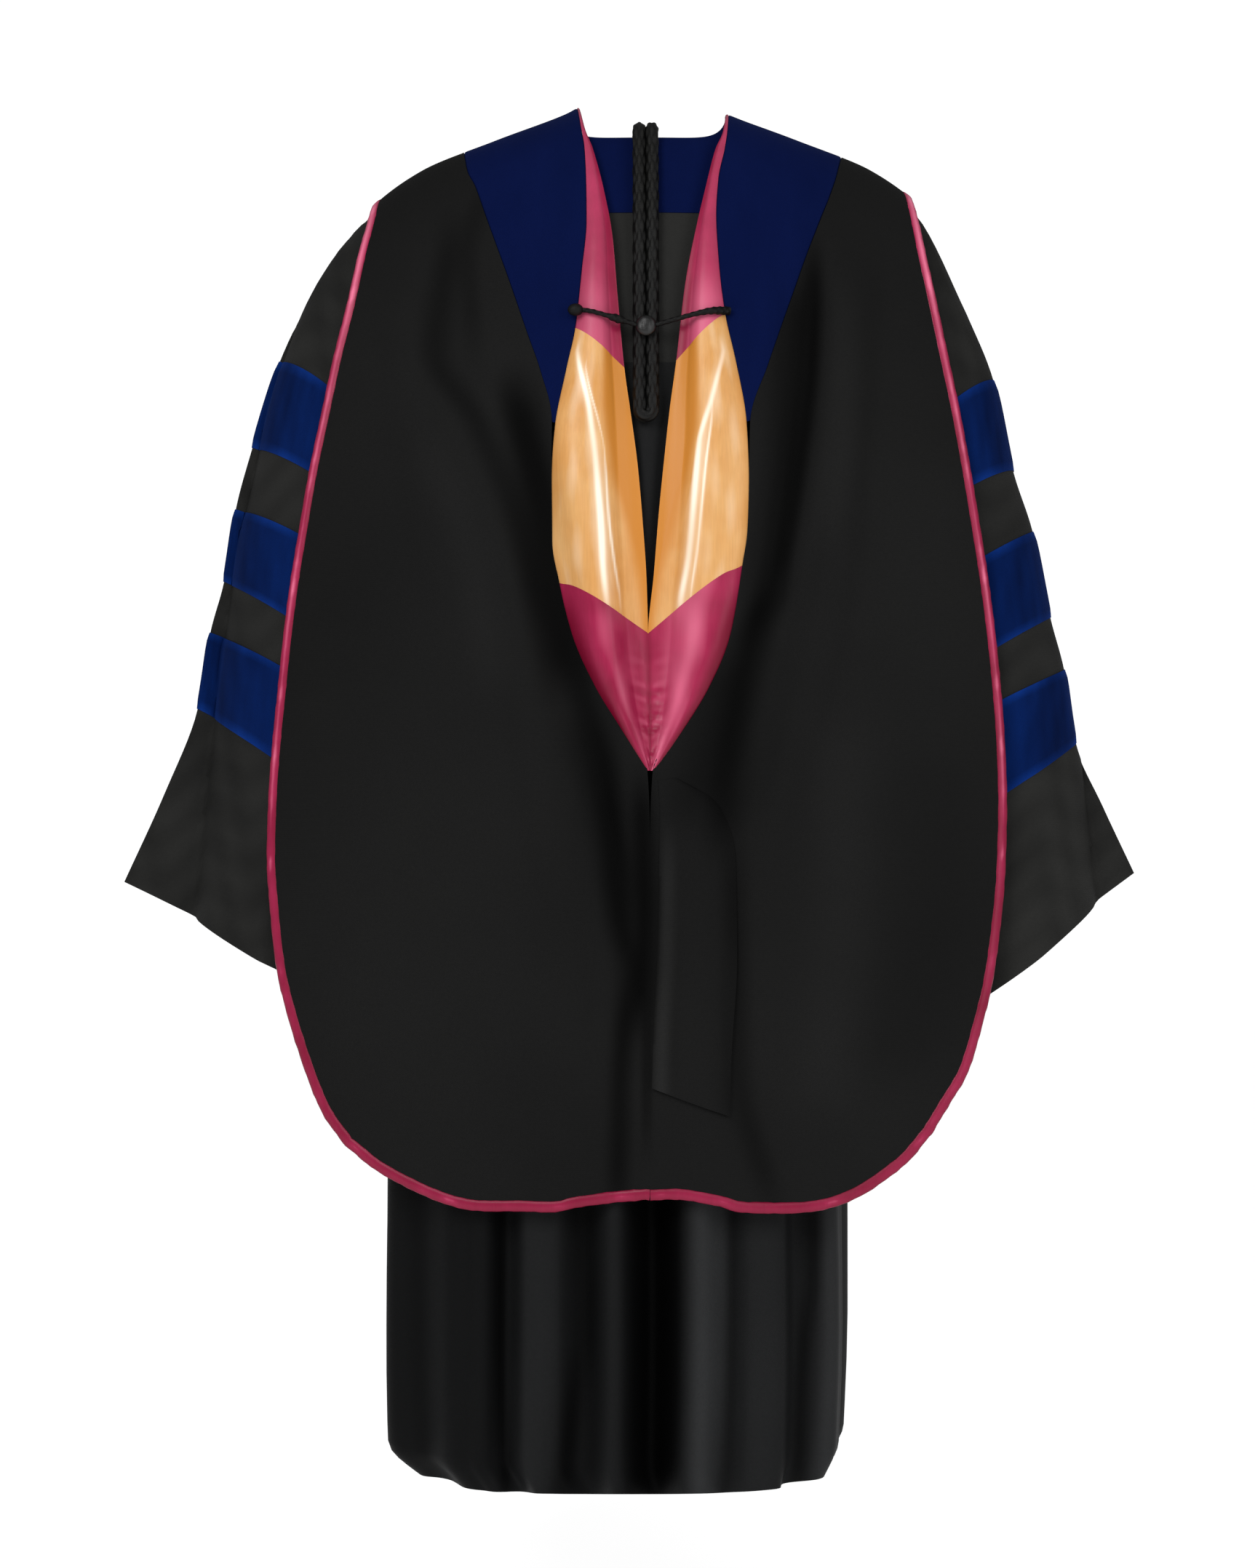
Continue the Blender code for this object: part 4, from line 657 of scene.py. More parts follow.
def neck_edge(turn):
    """The gown's back neck edge, from the left neck point to the right one, as x and drop."""
    x = NECK_HALF_WIDTH * np.sin(turn * math.pi / 2) * (1 - 0.12 * (1 - turn**2))
    height = NECK_EDGE_Z + (NECK_POINT_Z - NECK_EDGE_Z) * np.abs(turn) ** 5
    drop = gown_drop(x, height)
    drop[0] = 0.0
    drop[-1] = 0.0
    return np.stack([x, drop], axis=-1)


def yoke_grid(fine):
    """Rows run from the neck edge to the velvet's lower edge, then to armhole and yoke seam."""
    count = YOKE_NECK_COLUMNS + 2 * YOKE_ARMHOLE_COLUMNS
    turn = np.linspace(-1, 1, count * fine + 1)
    seam_turn = 1 - (1 - YOKE_NECK_COLUMNS / count) ** YOKE_CROWDING
    turn = np.sign(turn) * (1 - (1 - np.abs(turn)) ** YOKE_CROWDING)
    inner = neck_edge(turn)
    middle_x = NECK_VELVET_HALF_WIDTH * np.sin(turn * math.pi / 2)
    side_z = gown_ridge(np.array(NECK_VELVET_HALF_WIDTH))
    middle_z = -NECK_VELVET_DEPTH + (side_z + NECK_VELVET_DEPTH) * np.abs(turn) ** 5
    middle = np.stack([middle_x, gown_drop(middle_x, middle_z)], axis=-1)
    armhole_z = SHOULDER_TIP_Z + (YOKE_SEAM_Z - SHOULDER_TIP_Z) * np.clip(
        (1 - np.abs(turn)) / (1 - seam_turn), 0, 1
    )
    outer_x = np.sign(turn) * ARMHOLE_X(armhole_z)
    on_seam = np.abs(turn) <= seam_turn + 1e-9
    outer_x[on_seam] = turn[on_seam] / seam_turn * ARMHOLE_X(YOKE_SEAM_Z)
    outer = np.stack([outer_x, gown_drop(outer_x, armhole_z)], axis=-1)
    velvet_shares = np.linspace(0, 1, 2 * fine + 1)
    cloth_shares = np.linspace(0, 1, 3 * fine + 1)[1:]
    rows = [inner + (middle - inner) * share for share in velvet_shares]
    rows += [middle + (outer - middle) * share for share in cloth_shares]
    table = np.array(rows)
    x = table[..., 0]
    z = gown_height(x, table[..., 1])
    return gown_point(x, z, np.array(1.0))


def front_rows(fine):
    """Drops of the front panel's rows, close together over the shoulder."""
    underarm = math.sqrt((SHOULDER_TIP_Z - UNDERARM_Z) / (SHOULDER_TIP_Z - HEM_Z))
    upper = np.linspace(0, underarm, 7 * fine + 1)
    lower = np.linspace(underarm, 1, 7 * fine + 1)[1:]
    turn = math.sqrt((SHOULDER_TIP_Z - HEM_TURN_Z) / (SHOULDER_TIP_Z - HEM_Z))
    hem = np.linspace(turn, 1, HEM_ROWS + 1)
    return np.concatenate([upper, lower[lower < turn - 0.002], hem])


def lower_heights(fine):
    """Heights of the rows that the side seams share."""
    drops = front_rows(fine)
    return SHOULDER_TIP_Z - drops**2 * (SHOULDER_TIP_Z - HEM_Z)


def side_limit(z):
    """Distance of the armhole or side seam from the section's middle."""
    half = GOWN["half_width"](z)
    return np.where(z > UNDERARM_Z + 1e-6, np.minimum(ARMHOLE_X(z), half), half)


def back_grid(fine):
    """Rows of the gathered back, level from the yoke seam to the hem."""
    upper = np.linspace(YOKE_SEAM_Z, UNDERARM_Z, 2 * fine + 1)[:-1]
    heights = list(upper) + [z for z in lower_heights(fine) if z < UNDERARM_Z + 1e-6]
    rows = []
    places = []
    for z in heights:
        half = GOWN["half_width"](z)
        centre = float(GOWN["centre"](z))
        limit = float(side_limit(np.array(z)))

        def ring(x):
            level = np.full_like(x, z)
            return np.stack([x, shell_depth(GOWN, x, level, np.array(1.0)), level], axis=-1)

        _, whole = spread(ring, centre, centre + float(half))
        shares = np.linspace(0, 1, BACK_COLUMNS * fine // 2 + 1)
        side_x, length = spread(ring, centre, centre + limit, shares)
        offsets = side_x - centre
        rows.append(np.concatenate([centre - offsets[::-1], (centre + offsets)[1:]]))
        share = np.linspace(-1, 1, BACK_COLUMNS * fine + 1) * length / whole
        places.append(share)
    x = np.array(rows)
    z = np.repeat(np.array(heights)[:, None], x.shape[1], axis=1)
    points, normals = gown_point(x, z, np.array(1.0), np.array(places))
    points[..., 2] += HEM_DROP * gown_folds(np.array(places), z) * ease(-1.0, HEM_Z, z)
    return points, normals


def neck_front_x(z):
    """Distance of the front's inner edge from the middle: the neck's V, then the centre front."""
    share = np.clip((z - FRONT_NECK_Z) / (NECK_POINT_Z - FRONT_NECK_Z), 0, 1)
    return NECK_HALF_WIDTH * share**0.85


def front_grid(hand, fine):
    """Rows of one front panel from its inner edge to armhole and side seam; hand is -1 or 1."""
    rows = []
    heights = []
    places = []
    for drop in front_rows(fine):
        outer_z = float(SHOULDER_TIP_Z - drop**2 * (SHOULDER_TIP_Z - HEM_Z))
        outer = float(side_limit(np.array(outer_z)))
        centre = float(GOWN["centre"](outer_z))
        inner = 0.0
        for _ in range(NECK_SEARCH_STEPS):
            level = float(gown_height(np.array(inner), np.array(drop)))
            inner = 0.5 * inner + 0.5 * float(neck_front_x(level))
        if drop == 0:
            inner = NECK_HALF_WIDTH

        def path(distance):
            x = distance * hand + centre
            level = gown_height(distance, np.full_like(distance, drop))
            level = np.where(distance > outer - 1e-6, outer_z, level)
            return np.stack([x, shell_depth(GOWN, x, level, np.array(-1.0)), level], axis=-1)

        _, length = spread(path, inner, outer)
        facing = np.interp(drop, [0, 0.25], [NECK_VELVET_HALF_WIDTH - NECK_HALF_WIDTH, FACING_WIDTH])
        facing = facing * (FACING_RIDGE_SHARE if drop == 0 else 1.0) / length
        near = np.linspace(0, facing, FACING_COLUMNS * fine + 1)
        far = np.linspace(facing, 1, (FRONT_COLUMNS - FACING_COLUMNS) * fine + 1)[1:]
        shares = np.concatenate([near, far])
        distance, _ = spread(path, inner, outer, shares)
        points = path(distance)
        rows.append(points[:, 0])
        heights.append(points[:, 2])
        places.append(hand * (2 - shares))
    return gown_point(np.array(rows), np.array(heights), np.array(-1.0), np.array(places))


def ring_normals(rings):
    """Outward directions of a tube's rings."""
    across = np.roll(rings, -1, axis=1) - np.roll(rings, 1, axis=1)
    along = np.gradient(rings, axis=0)
    return unit(np.cross(across, along))


def hood_ridge(x):
    """Height of the hood's shoulder line above x."""
    return np.interp(np.abs(x), RIDGE_WIDTHS, RIDGE_HEIGHTS)


def hood_fall(x, z, side):
    """Root of the fall from the shoulder line: positive behind it and negative in front."""
    return side * np.sqrt(np.clip(hood_ridge(x) - z, 0, None))


def hood_folds(x, z):
    depth = np.zeros(np.broadcast(x, z).shape)
    for fold in HOOD_FOLDS:
        heights = [fold.end_z, fold.mid_z, fold.top_z]
        route = smooth_curve(heights, [fold.end_x, fold.mid_x, fold.top_x])
        fade = ease(fold.end_z - 0.04, fold.end_z + 0.06, z) * ease(fold.top_z + 0.04, fold.top_z - 0.08, z)
        off = np.abs(x - route(z)) / fold.half_width
        depth = depth + fold.depth * fade * trough_height(off, HOOD_TROUGH)
    return depth


def level_route(places):
    """The levels of a route's places, given as (level, value), and a smooth curve through them."""
    levels, values = zip(*sorted(places))
    return levels, smooth_curve(levels, values)


def crease_values(creases, x, z):
    """Height, and the tone of painted shade in troughs and painted light on ridges, that creases give the
    cloth at each place.
    """
    height = np.zeros(np.broadcast(x, z).shape)
    tone = np.ones_like(height)
    for crease in creases:
        levels, route = level_route([(level, across) for across, level in crease.places])
        fade = ease(levels[0] - CREASE_FADE, levels[0] + CREASE_FADE, z)
        fade = fade * ease(levels[-1] + CREASE_FADE, levels[-1] - CREASE_FADE, z)
        off = np.abs(x - route(z)) / crease.half_width
        height = height + crease.depth * fade * trough_height(off, CREASE_TROUGH)
        tone = tone * (1 + (crease.tone - 1) * fade * bump(off / CREASE_TROUGH.reach))
    return height, tone


def hood_point(x, fall, lift=0.0):
    """Points of the hood's outer form and their outward directions."""
    z = hood_ridge(x) - fall**2
    side = np.where(fall >= 0, 1.0, -1.0)
    y = shell_depth(HOOD, x, z, side)
    normal = shell_normal(HOOD, x, z, side)
    depth = np.where(fall > 0, hood_folds(x, z) + crease_values(HOOD_CREASES, x, z)[0], 0.0)
    point = np.stack([x, y, z], axis=-1) + normal * (depth + lift)[..., None]
    return point, normal


def hood_line(rows, name, hand):
    """One of the hood's lines as x and fall, for any share of a row number."""
    x = hand * column(rows, name + "_x")
    z = column(rows, name + "_z")
    side = column(rows, "side")
    if name != "rim":
        x = x + CENTRE_X * (side > 0) * ease(-0.42, -0.6, z)
    fall = np.where(side == 0, 0.0, hood_fall(x, z, side))
    numbers = np.arange(len(rows))
    read_x = smooth_curve(numbers, x)
    read_fall = smooth_curve(numbers, fall)
    return lambda row: np.stack([read_x(row), read_fall(row)], axis=-1)


def beside(path, distance):
    """A path on the hood moved sideways over its form by a distance, towards its left hand."""
    x = path[:, 0]
    fall = path[:, 1]
    step = 1e-4
    along_x = (hood_point(x + step, fall)[0] - hood_point(x - step, fall)[0]) / (2 * step)
    along_fall = (hood_point(x, fall + step)[0] - hood_point(x, fall - step)[0]) / (2 * step)
    points, normal = hood_point(x, fall)
    tangent = unit(np.gradient(points, axis=0))
    sideways = unit(np.cross(normal, tangent)) * distance
    moved = []
    for i in range(len(path)):
        frame = np.stack([along_x[i], along_fall[i]], axis=-1)
        change = np.linalg.lstsq(frame, sideways[i], rcond=None)[0]
        moved.append(path[i] + change)
    return np.array(moved)


def hood_edge_path(rows, hem, hand, steps_per_row):
    """The hood's whole edge from the front point round to the middle of its lower edge."""
    hem_x = hand * column(hem, "x") + CENTRE_X * ease(0.05, 0.0, column(hem, "x"))
    hem_z = column(hem, "z")
    side_line = hood_line(rows, "rim", hand)
    numbers = np.linspace(0, len(rows) - 1, (len(rows) - 1) * steps_per_row + 1)
    side = side_line(numbers)
    hem_fall = hood_fall(hem_x, hem_z, 1)
    hem_numbers = np.arange(len(hem))
    fine = np.linspace(0, len(hem) - 1, (len(hem) - 1) * steps_per_row + 1)[1:]
    lower = np.stack(
        [smooth_curve(hem_numbers, hem_x)(fine), smooth_curve(hem_numbers, hem_fall)(fine)], axis=-1
    )
    return np.concatenate([side, lower]), len(side)


def row_numbers(first, last, steps=ROW_STEPS):
    """Row numbers between two rows of the hood."""
    return np.linspace(first, last, (last - first) * steps + 1)


def hood_shell_grid(rows, hem, hand):
    """Rows of one half of the black panel, from the velvet's seam to the edging."""
    edge, side_count = hood_edge_path(rows, hem, hand, EDGE_STEPS)
    edge = beside(edge, -hand * EDGING_HALF_WIDTH * 0.9)
    edge[:, 0] = hand * np.maximum(hand * edge[:, 0], 0.0)
    numbers = row_numbers(0, len(rows) - 1)
    outer = edge[np.round(numbers * EDGE_STEPS).astype(int)]
    inner = hood_line(rows, "seam", hand)(numbers)
    lower = edge[side_count - 1:][::-1]
    lengths = run_lengths(lower)
    share = np.linspace(0, 1, FINE_SHELL_COLUMNS + 1)
    bottom = np.stack(
        [np.interp(share * lengths[-1], lengths, lower[:, i]) for i in range(2)], axis=-1
    )
    bottom[0] = (inner[-1][0], lower[0][1])
    inner[-1] = bottom[0]
    grid = inner[:, None] + (outer - inner)[:, None] * share[None, :, None]
    level = ease(len(rows) * 0.55, len(rows) - 1, numbers)
    straight = inner[-1] + (outer[-1] - inner[-1]) * share[:, None]
    grid = grid + (bottom - straight)[None] * level[:, None, None]
    return hood_point(grid[..., 0], grid[..., 1])


def velvet_grid(rows, hand):
    """The hood's velvet: wide on the back, over the shoulder and down to a point in front."""
    numbers = row_numbers(0, VELVET_LAST_ROW)
    outer = hood_line(rows, "seam", hand)(numbers)
    inner = hood_line(rows, "fold", hand)(numbers)
    share = edge_shares(FINE_VELVET_COLUMNS)
    grid = inner[:, None] + (outer - inner)[:, None] * share[None, :, None]
    return hood_point(grid[..., 0], grid[..., 1])


def lining_lift(share, z):
    """Height of the turned-out lining across its width: a full roll that turns in at the middle."""
    full = ease(0.05, -0.3, z) * ease(-0.615, -0.5, z)
    roll = np.sin(np.clip(share * 1.35, 0, 1) * math.pi) ** 0.8
    turned = ease(0.55, 1.0, share)
    drawn = ease(-0.525, -0.55, z) * ease(-0.612, -0.6, z) * ease(0.35, 0.85, share)
    ripple = np.sin(z * 430 + 9 * share) * np.sin(z * 271 - 14 * share + 1.0) * np.sin(z * 97 + 3.0)
    lift = full * (LINING_BULGE * roll - LINING_TURN * turned) - 0.001 * turned
    return lift + PUCKER * drawn * (ripple - 0.6)


def lining_grid(rows, hand, first, last):
    numbers = row_numbers(first, last, LINING_ROW_STEPS)
    outer = hood_line(rows, "fold", hand)(numbers)
    inner = hood_line(rows, "core", hand)(numbers)
    share = np.linspace(0, 1, FINE_LINING_COLUMNS + 1)
    grid = outer[:, None] + (inner - outer)[:, None] * share[None, :, None]
    x = grid[..., 0]
    z = hood_ridge(x) - grid[..., 1] ** 2
    return hood_point(x, grid[..., 1], lining_lift(share[None, :] + 0 * x, z))


def tail_grid():
    share = np.linspace(0, 1, 25)
    numbers = np.arange(len(TAIL_ROWS))
    fine = np.linspace(0, len(TAIL_ROWS) - 1, 81)

    def line(name):
        return smooth_curve(numbers, column(TAIL_ROWS, name))(fine)

    left = np.stack([line("left_x"), line("left_z")], axis=-1)
    right = np.stack([line("right_x"), line("right_z")], axis=-1)
    flat = left[:, None] + (right - left)[:, None] * share[None, :, None]
    x = flat[..., 0]
    fall = hood_fall(x, flat[..., 1], 1)
    points, normals = hood_point(x, fall)
    lift = TAIL_REST + TAIL_LIFT * ease(-0.64, -0.86, flat[..., 1])
    return points + normals * lift[..., None], normals


def armhole_loop(yoke, back, front, hand):
    """The armhole's edge points, from the shoulder tip down the back and up the front."""
    end = -1 if hand > 0 else 0
    last = YOKE_ARMHOLE_COLUMNS + 1
    yoke_edge = yoke[-1][-last:][::-1] if hand > 0 else yoke[-1][:last]
    heights = back[:, end, 2]
    back_edge = back[(heights > UNDERARM_Z - 1e-6) & (heights < YOKE_SEAM_Z - 1e-6), end]
    levels = front[:, -1, 2]
    front_edge = front[(levels > UNDERARM_Z + 1e-6), -1][1:][::-1]
    corners = np.concatenate([yoke_edge, back_edge, front_edge])
    halfway = (corners + np.roll(corners, -1, axis=0)) / 2
    return np.stack([corners, halfway], axis=1).reshape(-1, 3)


def sleeve_points(table, hand, loop):
    """Rings of one sleeve, the first on the armhole and the last at the cuff."""
    back_count = int(np.argmin(loop[:, 2]))
    front_count = len(loop) - back_count
    corners = np.concatenate(
        [np.linspace(0, math.pi, back_count + 1), np.linspace(math.pi, 2 * math.pi, front_count + 1)[1:]]
    )
    steps = np.linspace(0, len(loop), len(loop) * SLEEVE_TURN_STEPS + 1)[:-1]
    turn = np.interp(steps, np.arange(len(corners)), corners)
    loop = round_curve(loop, steps)
    across = (1 - np.cos(turn)) / 2
    rings = []
    for number, row in fine_rows(table, SLEEVE_ROW_STEPS):
        width = row.outer_x - row.inner_x
        fall = row.outer_z - row.inner_z
        x = row.outer_x - width * across
        first_drop = row.slope * abs(width)
        z = row.outer_z - first_drop * across - (fall - first_drop) * across**2
        depth = np.where(turn <= math.pi, row.back, row.front)
        y = -np.sin(turn) * depth
        grown = ease(FLUTE_FIRST_ROW, len(table) - 1, number) * ease(0.06, 0.38, across)
        flute = np.cos(turn * SLEEVE_FLUTES + FLUTE_TURN) * SLEEVE_FLUTE_DEPTH * grown
        x = x + np.cos(turn) * flute * FLUTE_SIDE_SHARE
        y = y - np.sin(turn) * flute
        rings.append(np.stack([x * hand, y, z], axis=-1))
    rings = np.array(rings)
    outward = ARMHOLE_OFFSET + UNDERARM_OFFSET * across
    start = loop + np.stack([hand * outward, 0 * turn, -0.3 * outward], axis=-1)
    rings[0] = start
    for number in range(1, 2 * SLEEVE_ROW_STEPS):
        near = number / SLEEVE_ROW_STEPS
        moved_start = start + rings[number].mean(axis=0) - start.mean(axis=0)
        kept = (1 - near) ** 1.6 if near < 1 else 0.0
        kept = max(kept, ARMHOLE_SHARE * max(0.0, 1 - abs(near - 1)))
        rings[number] += (moved_start - rings[number]) * kept
    return under_hood(rings)


def under_hood(rings):
    """Keeps a sleeve's rings, after the first, clear of the hood that lies over them."""
    lower = rings[1:]
    x = lower[..., 0]
    near = ease(0.3, 0.283, np.abs(x))
    top = hood_ridge(x) - SHOULDER_CLEARANCE
    lower[..., 2] = lower[..., 2] * (1 - near) + np.minimum(lower[..., 2], top) * near
    z = lower[..., 2] + SHOULDER_CLEARANCE
    back = shell_depth(HOOD, x, z, np.array(1.0)) + HOOD_CLEARANCE
    front = shell_depth(HOOD, x, z, np.array(-1.0)) - HOOD_CLEARANCE + FRONT_FREEDOM * ease(-0.12, -0.26, z)
    lower[..., 1] = np.maximum(lower[..., 1], np.minimum(back, 0.0))
    lower[..., 1] = np.minimum(lower[..., 1], np.maximum(front, 0.0))
    return rings


# Pieces of cloth


def make_mesh(name, vertices, faces, material, shade):
    """A smooth mesh in the scene, with a tone at each of its points that carries its own tone and painted
    shade and light.
    """
    mesh = bpy.data.meshes.new(name + "_mesh")
    mesh.from_pydata(np.asarray(vertices, float).tolist(), [], faces)
    mesh.materials.append(material)
    mesh.shade_smooth()
    mesh.set_sharp_from_angle(angle=SHARP_ANGLE)
    layer = mesh.attributes.new("tone_and_painted_light", "FLOAT", "POINT")
    layer.data.foreach_set("value", np.asarray(shade, np.float32))
    item = bpy.data.objects.new(name, mesh)
    bpy.context.scene.collection.objects.link(item)
    return item


def finish_piece(item, nodes):
    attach(item, "root")
    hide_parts(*nodes)
    return item


def pull_in(points, loop):
    """Moves a grid's edges inwards by half of the fine seam gap."""
    pulled = points.copy()
    half = FINE_GAP / 2
    pulled[0] += unit(points[1] - points[0]) * half
    pulled[-1] += unit(points[-2] - points[-1]) * half
    if not loop:
        pulled[:, 0] += unit(points[:, 1] - points[:, 0]) * half
        pulled[:, -1] += unit(points[:, -2] - points[:, -1]) * half
    return pulled


def edge_roll(rows, columns, loop, reach):
    """1 inside a grid and falling to 0 at its edges, over a number of cells."""
    down = np.minimum(np.arange(rows), np.arange(rows)[::-1]) / reach
    across = np.ones(columns)
    if not loop:
        across = np.minimum(np.arange(columns), np.arange(columns)[::-1]) / reach
    near = np.minimum(np.clip(down, 0, 1)[:, None], np.clip(across, 0, 1)[None])
    return np.sqrt(1 - (1 - near) ** 2)


def cloth(name, grid, material, thickness=GOWN_CLOTH, lift=0.0, loop=False, roll=0, shade=None):
    """A closed wall of cloth around a grid of points, moved out by lift, with its edges rolled in."""
    points, normals = grid
    points = pull_in(points, loop)
    row_count, column_count = points.shape[:2]
    full = np.ones((row_count, column_count))
    if roll:
        full = edge_roll(row_count, column_count, loop, roll)
    rise = lift + thickness * (ROLLED_EDGE + (1 - ROLLED_EDGE) * full - 0.5)
    outer = points + normals * rise[..., None]
    inner = points + normals * (lift - thickness / 2)
    vertices = np.concatenate([outer.reshape(-1, 3), inner.reshape(-1, 3)])
    total = row_count * column_count
    r = row_count // 2
    c = column_count // 2
    across = points[r, c] - points[r, c - 1]
    along = points[r, c] - points[r - 1, c]
    facing_out = float(np.dot(np.cross(across, along), normals[r, c])) > 0
    last = column_count if loop else column_count - 1
    row = np.repeat(np.arange(row_count - 1), last)
    place = np.tile(np.arange(last), row_count - 1)
    beside_it = (place + 1) % column_count
    quads = np.stack([
        row * column_count + place,
        row * column_count + beside_it,
        (row + 1) * column_count + beside_it,
        (row + 1) * column_count + place,
    ], axis=-1)
    ends = [(i, (i + 1) % column_count) for i in range(last)]
    start = (row_count - 1) * column_count
    ends += [(start + (i + 1) % column_count, start + i) for i in range(last)]
    if not loop:
        side = column_count - 1
        ends += [(i * column_count + side, (i + 1) * column_count + side) for i in range(row_count - 1)]
        ends += [((i + 1) * column_count, i * column_count) for i in range(row_count - 1)]
    ends = np.array(ends)
    rim = np.stack([ends[:, 1], ends[:, 0], total + ends[:, 0], total + ends[:, 1]], axis=-1)
    quads = np.concatenate([quads, total + quads[:, ::-1], rim])
    if not facing_out:
        quads = quads[:, ::-1]
    if shade is None:
        shade = np.ones(full.shape)
    values = np.tile(np.asarray(shade, float).reshape(-1), 2)
    return make_mesh(name, vertices, quads.tolist(), material, values)


# Materials


def add_node(tree, kind, settings=None, **inputs):
    made = tree.nodes.new(kind)
    for key, value in (settings or {}).items():
        setattr(made, key, value)
    for key, value in inputs.items():
        socket = made.inputs[int(key[1:])] if key[1:].isdigit() else made.inputs[key.replace("_", " ")]
        if hasattr(value, "is_linked"):
            tree.links.new(value, socket)
        else:
            socket.default_value = value
    return made


def new_material(name, roughness, specular):
    material = bpy.data.materials.new(name)
    material.use_nodes = True
    tree = material.node_tree
    shader = tree.nodes["Principled BSDF"]
    shader.inputs["Roughness"].default_value = roughness
    shader.inputs["Specular IOR Level"].default_value = specular
    place = add_node(tree, "ShaderNodeTexCoord").outputs["Object"]
    shade = add_node(tree, "ShaderNodeAttribute", {"attribute_name": "tone_and_painted_light"}).outputs["Fac"]
    return material, tree, shader, place, shade


def mixed(tree, factor, first, second, blend="MIX"):
    """Two colours, each plain or from a node, mixed by a factor."""
    first, second = [item if hasattr(item, "is_linked") else (*item, 1.0) for item in (first, second)]
    settings = {"data_type": "RGBA", "blend_type": blend}
    return add_node(tree, "ShaderNodeMix", settings, _0=factor, _6=first, _7=second).outputs[2]


def multiplied(tree, colour, factor):
    return mixed(tree, 1.0, colour, factor, "MULTIPLY")


def noise(tree, place, scale, detail):
    return add_node(tree, "ShaderNodeTexNoise", Vector=place, Scale=scale, Detail=detail).outputs[0]


def stretched(tree, place, upright):
    """The place with its height counted less, so that a noise runs into upright streaks."""
    return add_node(tree, "ShaderNodeMapping", Vector=place, Scale=(1.0, 1.0, upright)).outputs[0]


def grained(tree, tone, grain, contrast):
    """A tone made lighter and darker by a fine grain."""
    speck = add_node(tree, "ShaderNodeMapRange", Value=grain, To_Min=1 - contrast, To_Max=1 + contrast)
    return multiplied(tree, tone, speck.outputs[0])


def calculated(tree, operation, *values):
    inputs = {f"_{i}": value for i, value in enumerate(values)}
    return add_node(tree, "ShaderNodeMath", {"operation": operation}, **inputs).outputs[0]


def twill_height(tree, place):
    """Height of a twill: slanting threads crossed by level ones."""
    split = add_node(tree, "ShaderNodeSeparateXYZ", Vector=place)
    slant = calculated(tree, "ADD", split.outputs[2], split.outputs[0])
    turns = 2 * math.pi * THREADS_TO_THE_METRE
    phases = [calculated(tree, "MULTIPLY", line, turns) for line in (slant, split.outputs[2])]
    return calculated(tree, "ADD", *[calculated(tree, "SINE", phase) for phase in phases])


def bumped(tree, height, strength, distance, **under):
    """A surface raised by a height, over another such surface where one is given as Normal."""
    made = add_node(tree, "ShaderNodeBump", Strength=strength, Distance=distance, Height=height, **under)
    return made.outputs[0]


def connect(tree, shader, tone, normal):
    tree.links.new(tone, shader.inputs["Base Color"])
    tree.links.new(normal, shader.inputs["Normal"])


def cloth_material(name, colour, lighter, specular, roughness=0.75, rumpled=0.18):
    """Matte woven black: fine twill, slubs and slow changes of tone, with painted shade deep in the folds and
    painted light on the ridges.
    """
    material, tree, shader, place, shade = new_material(name, roughness, specular)
    tone = mixed(tree, noise(tree, place, 5.0, 3.0), colour, lighter)
    tone = grained(tree, tone, noise(tree, place, 420.0, 2.0), 0.14)
    weave = bumped(tree, twill_height(tree, place), 0.25, 0.0002)
    rumple = bumped(tree, noise(tree, place, 38.0, 4.0), rumpled, 0.0025, Normal=weave)
    connect(tree, shader, multiplied(tree, tone, shade), rumple)
    return material


def velvet_material(name, colour, lighter, sheen):
    """Deep pile: dark face on, lighter where it turns away, with brushed streaks."""
    material, tree, shader, place, shade = new_material(name, 0.9, 0.04)
    shader.inputs["Sheen Weight"].default_value = sheen
    shader.inputs["Sheen Roughness"].default_value = 0.35
    shader.inputs["Sheen Tint"].default_value = (0.05, 0.18, 0.85, 1.0)
    brushed = noise(tree, stretched(tree, place, 0.35), 26.0, 4.0)
    pile = noise(tree, place, 1600.0, 2.0)
    tone = grained(tree, mixed(tree, brushed, colour, lighter), pile, 0.3)
    stroke = bumped(tree, brushed, 0.25, 0.002, Normal=bumped(tree, pile, 0.5, 0.0005))
    # The tone at each point multiplies the colour; on the sleeve bars it paints a lighter sheen along their
    # edges
    connect(tree, shader, multiplied(tree, tone, shade), stroke)
    return material


def satin_material(name, colour, darker, painted_highlight_colour, roughness):
    """Glossy satin: long fine floats, painted shade of a deeper colour where it turns in and a painted pale
    highlight on its crests.
    """
    material, tree, shader, place, shade = new_material(name, roughness, 0.17)
    shader.inputs["Anisotropic"].default_value = 0.55
    along = stretched(tree, place, 0.06)
    floats = noise(tree, along, 520.0, 3.0)
    tone = mixed(tree, noise(tree, place, 18.0, 3.0), darker, colour)
    # Painted shade: the deeper colour where the tone at each point falls under 1; painted highlight: the pale
    # colour where it rises over 1
    tone = mixed(tree, shade, darker, grained(tree, tone, floats, 0.12))
    over = add_node(tree, "ShaderNodeMath", {"operation": "SUBTRACT", "use_clamp": True}, _0=shade, _1=1.0)
    tone = mixed(tree, over.outputs[0], tone, painted_highlight_colour)
    thread = bumped(tree, floats, 0.12, 0.0003)
    connect(tree, shader, tone, bumped(tree, noise(tree, along, 70.0, 2.0), 0.2, 0.002, Normal=thread))
    return material


def grey(level):
    return (level, level, level)


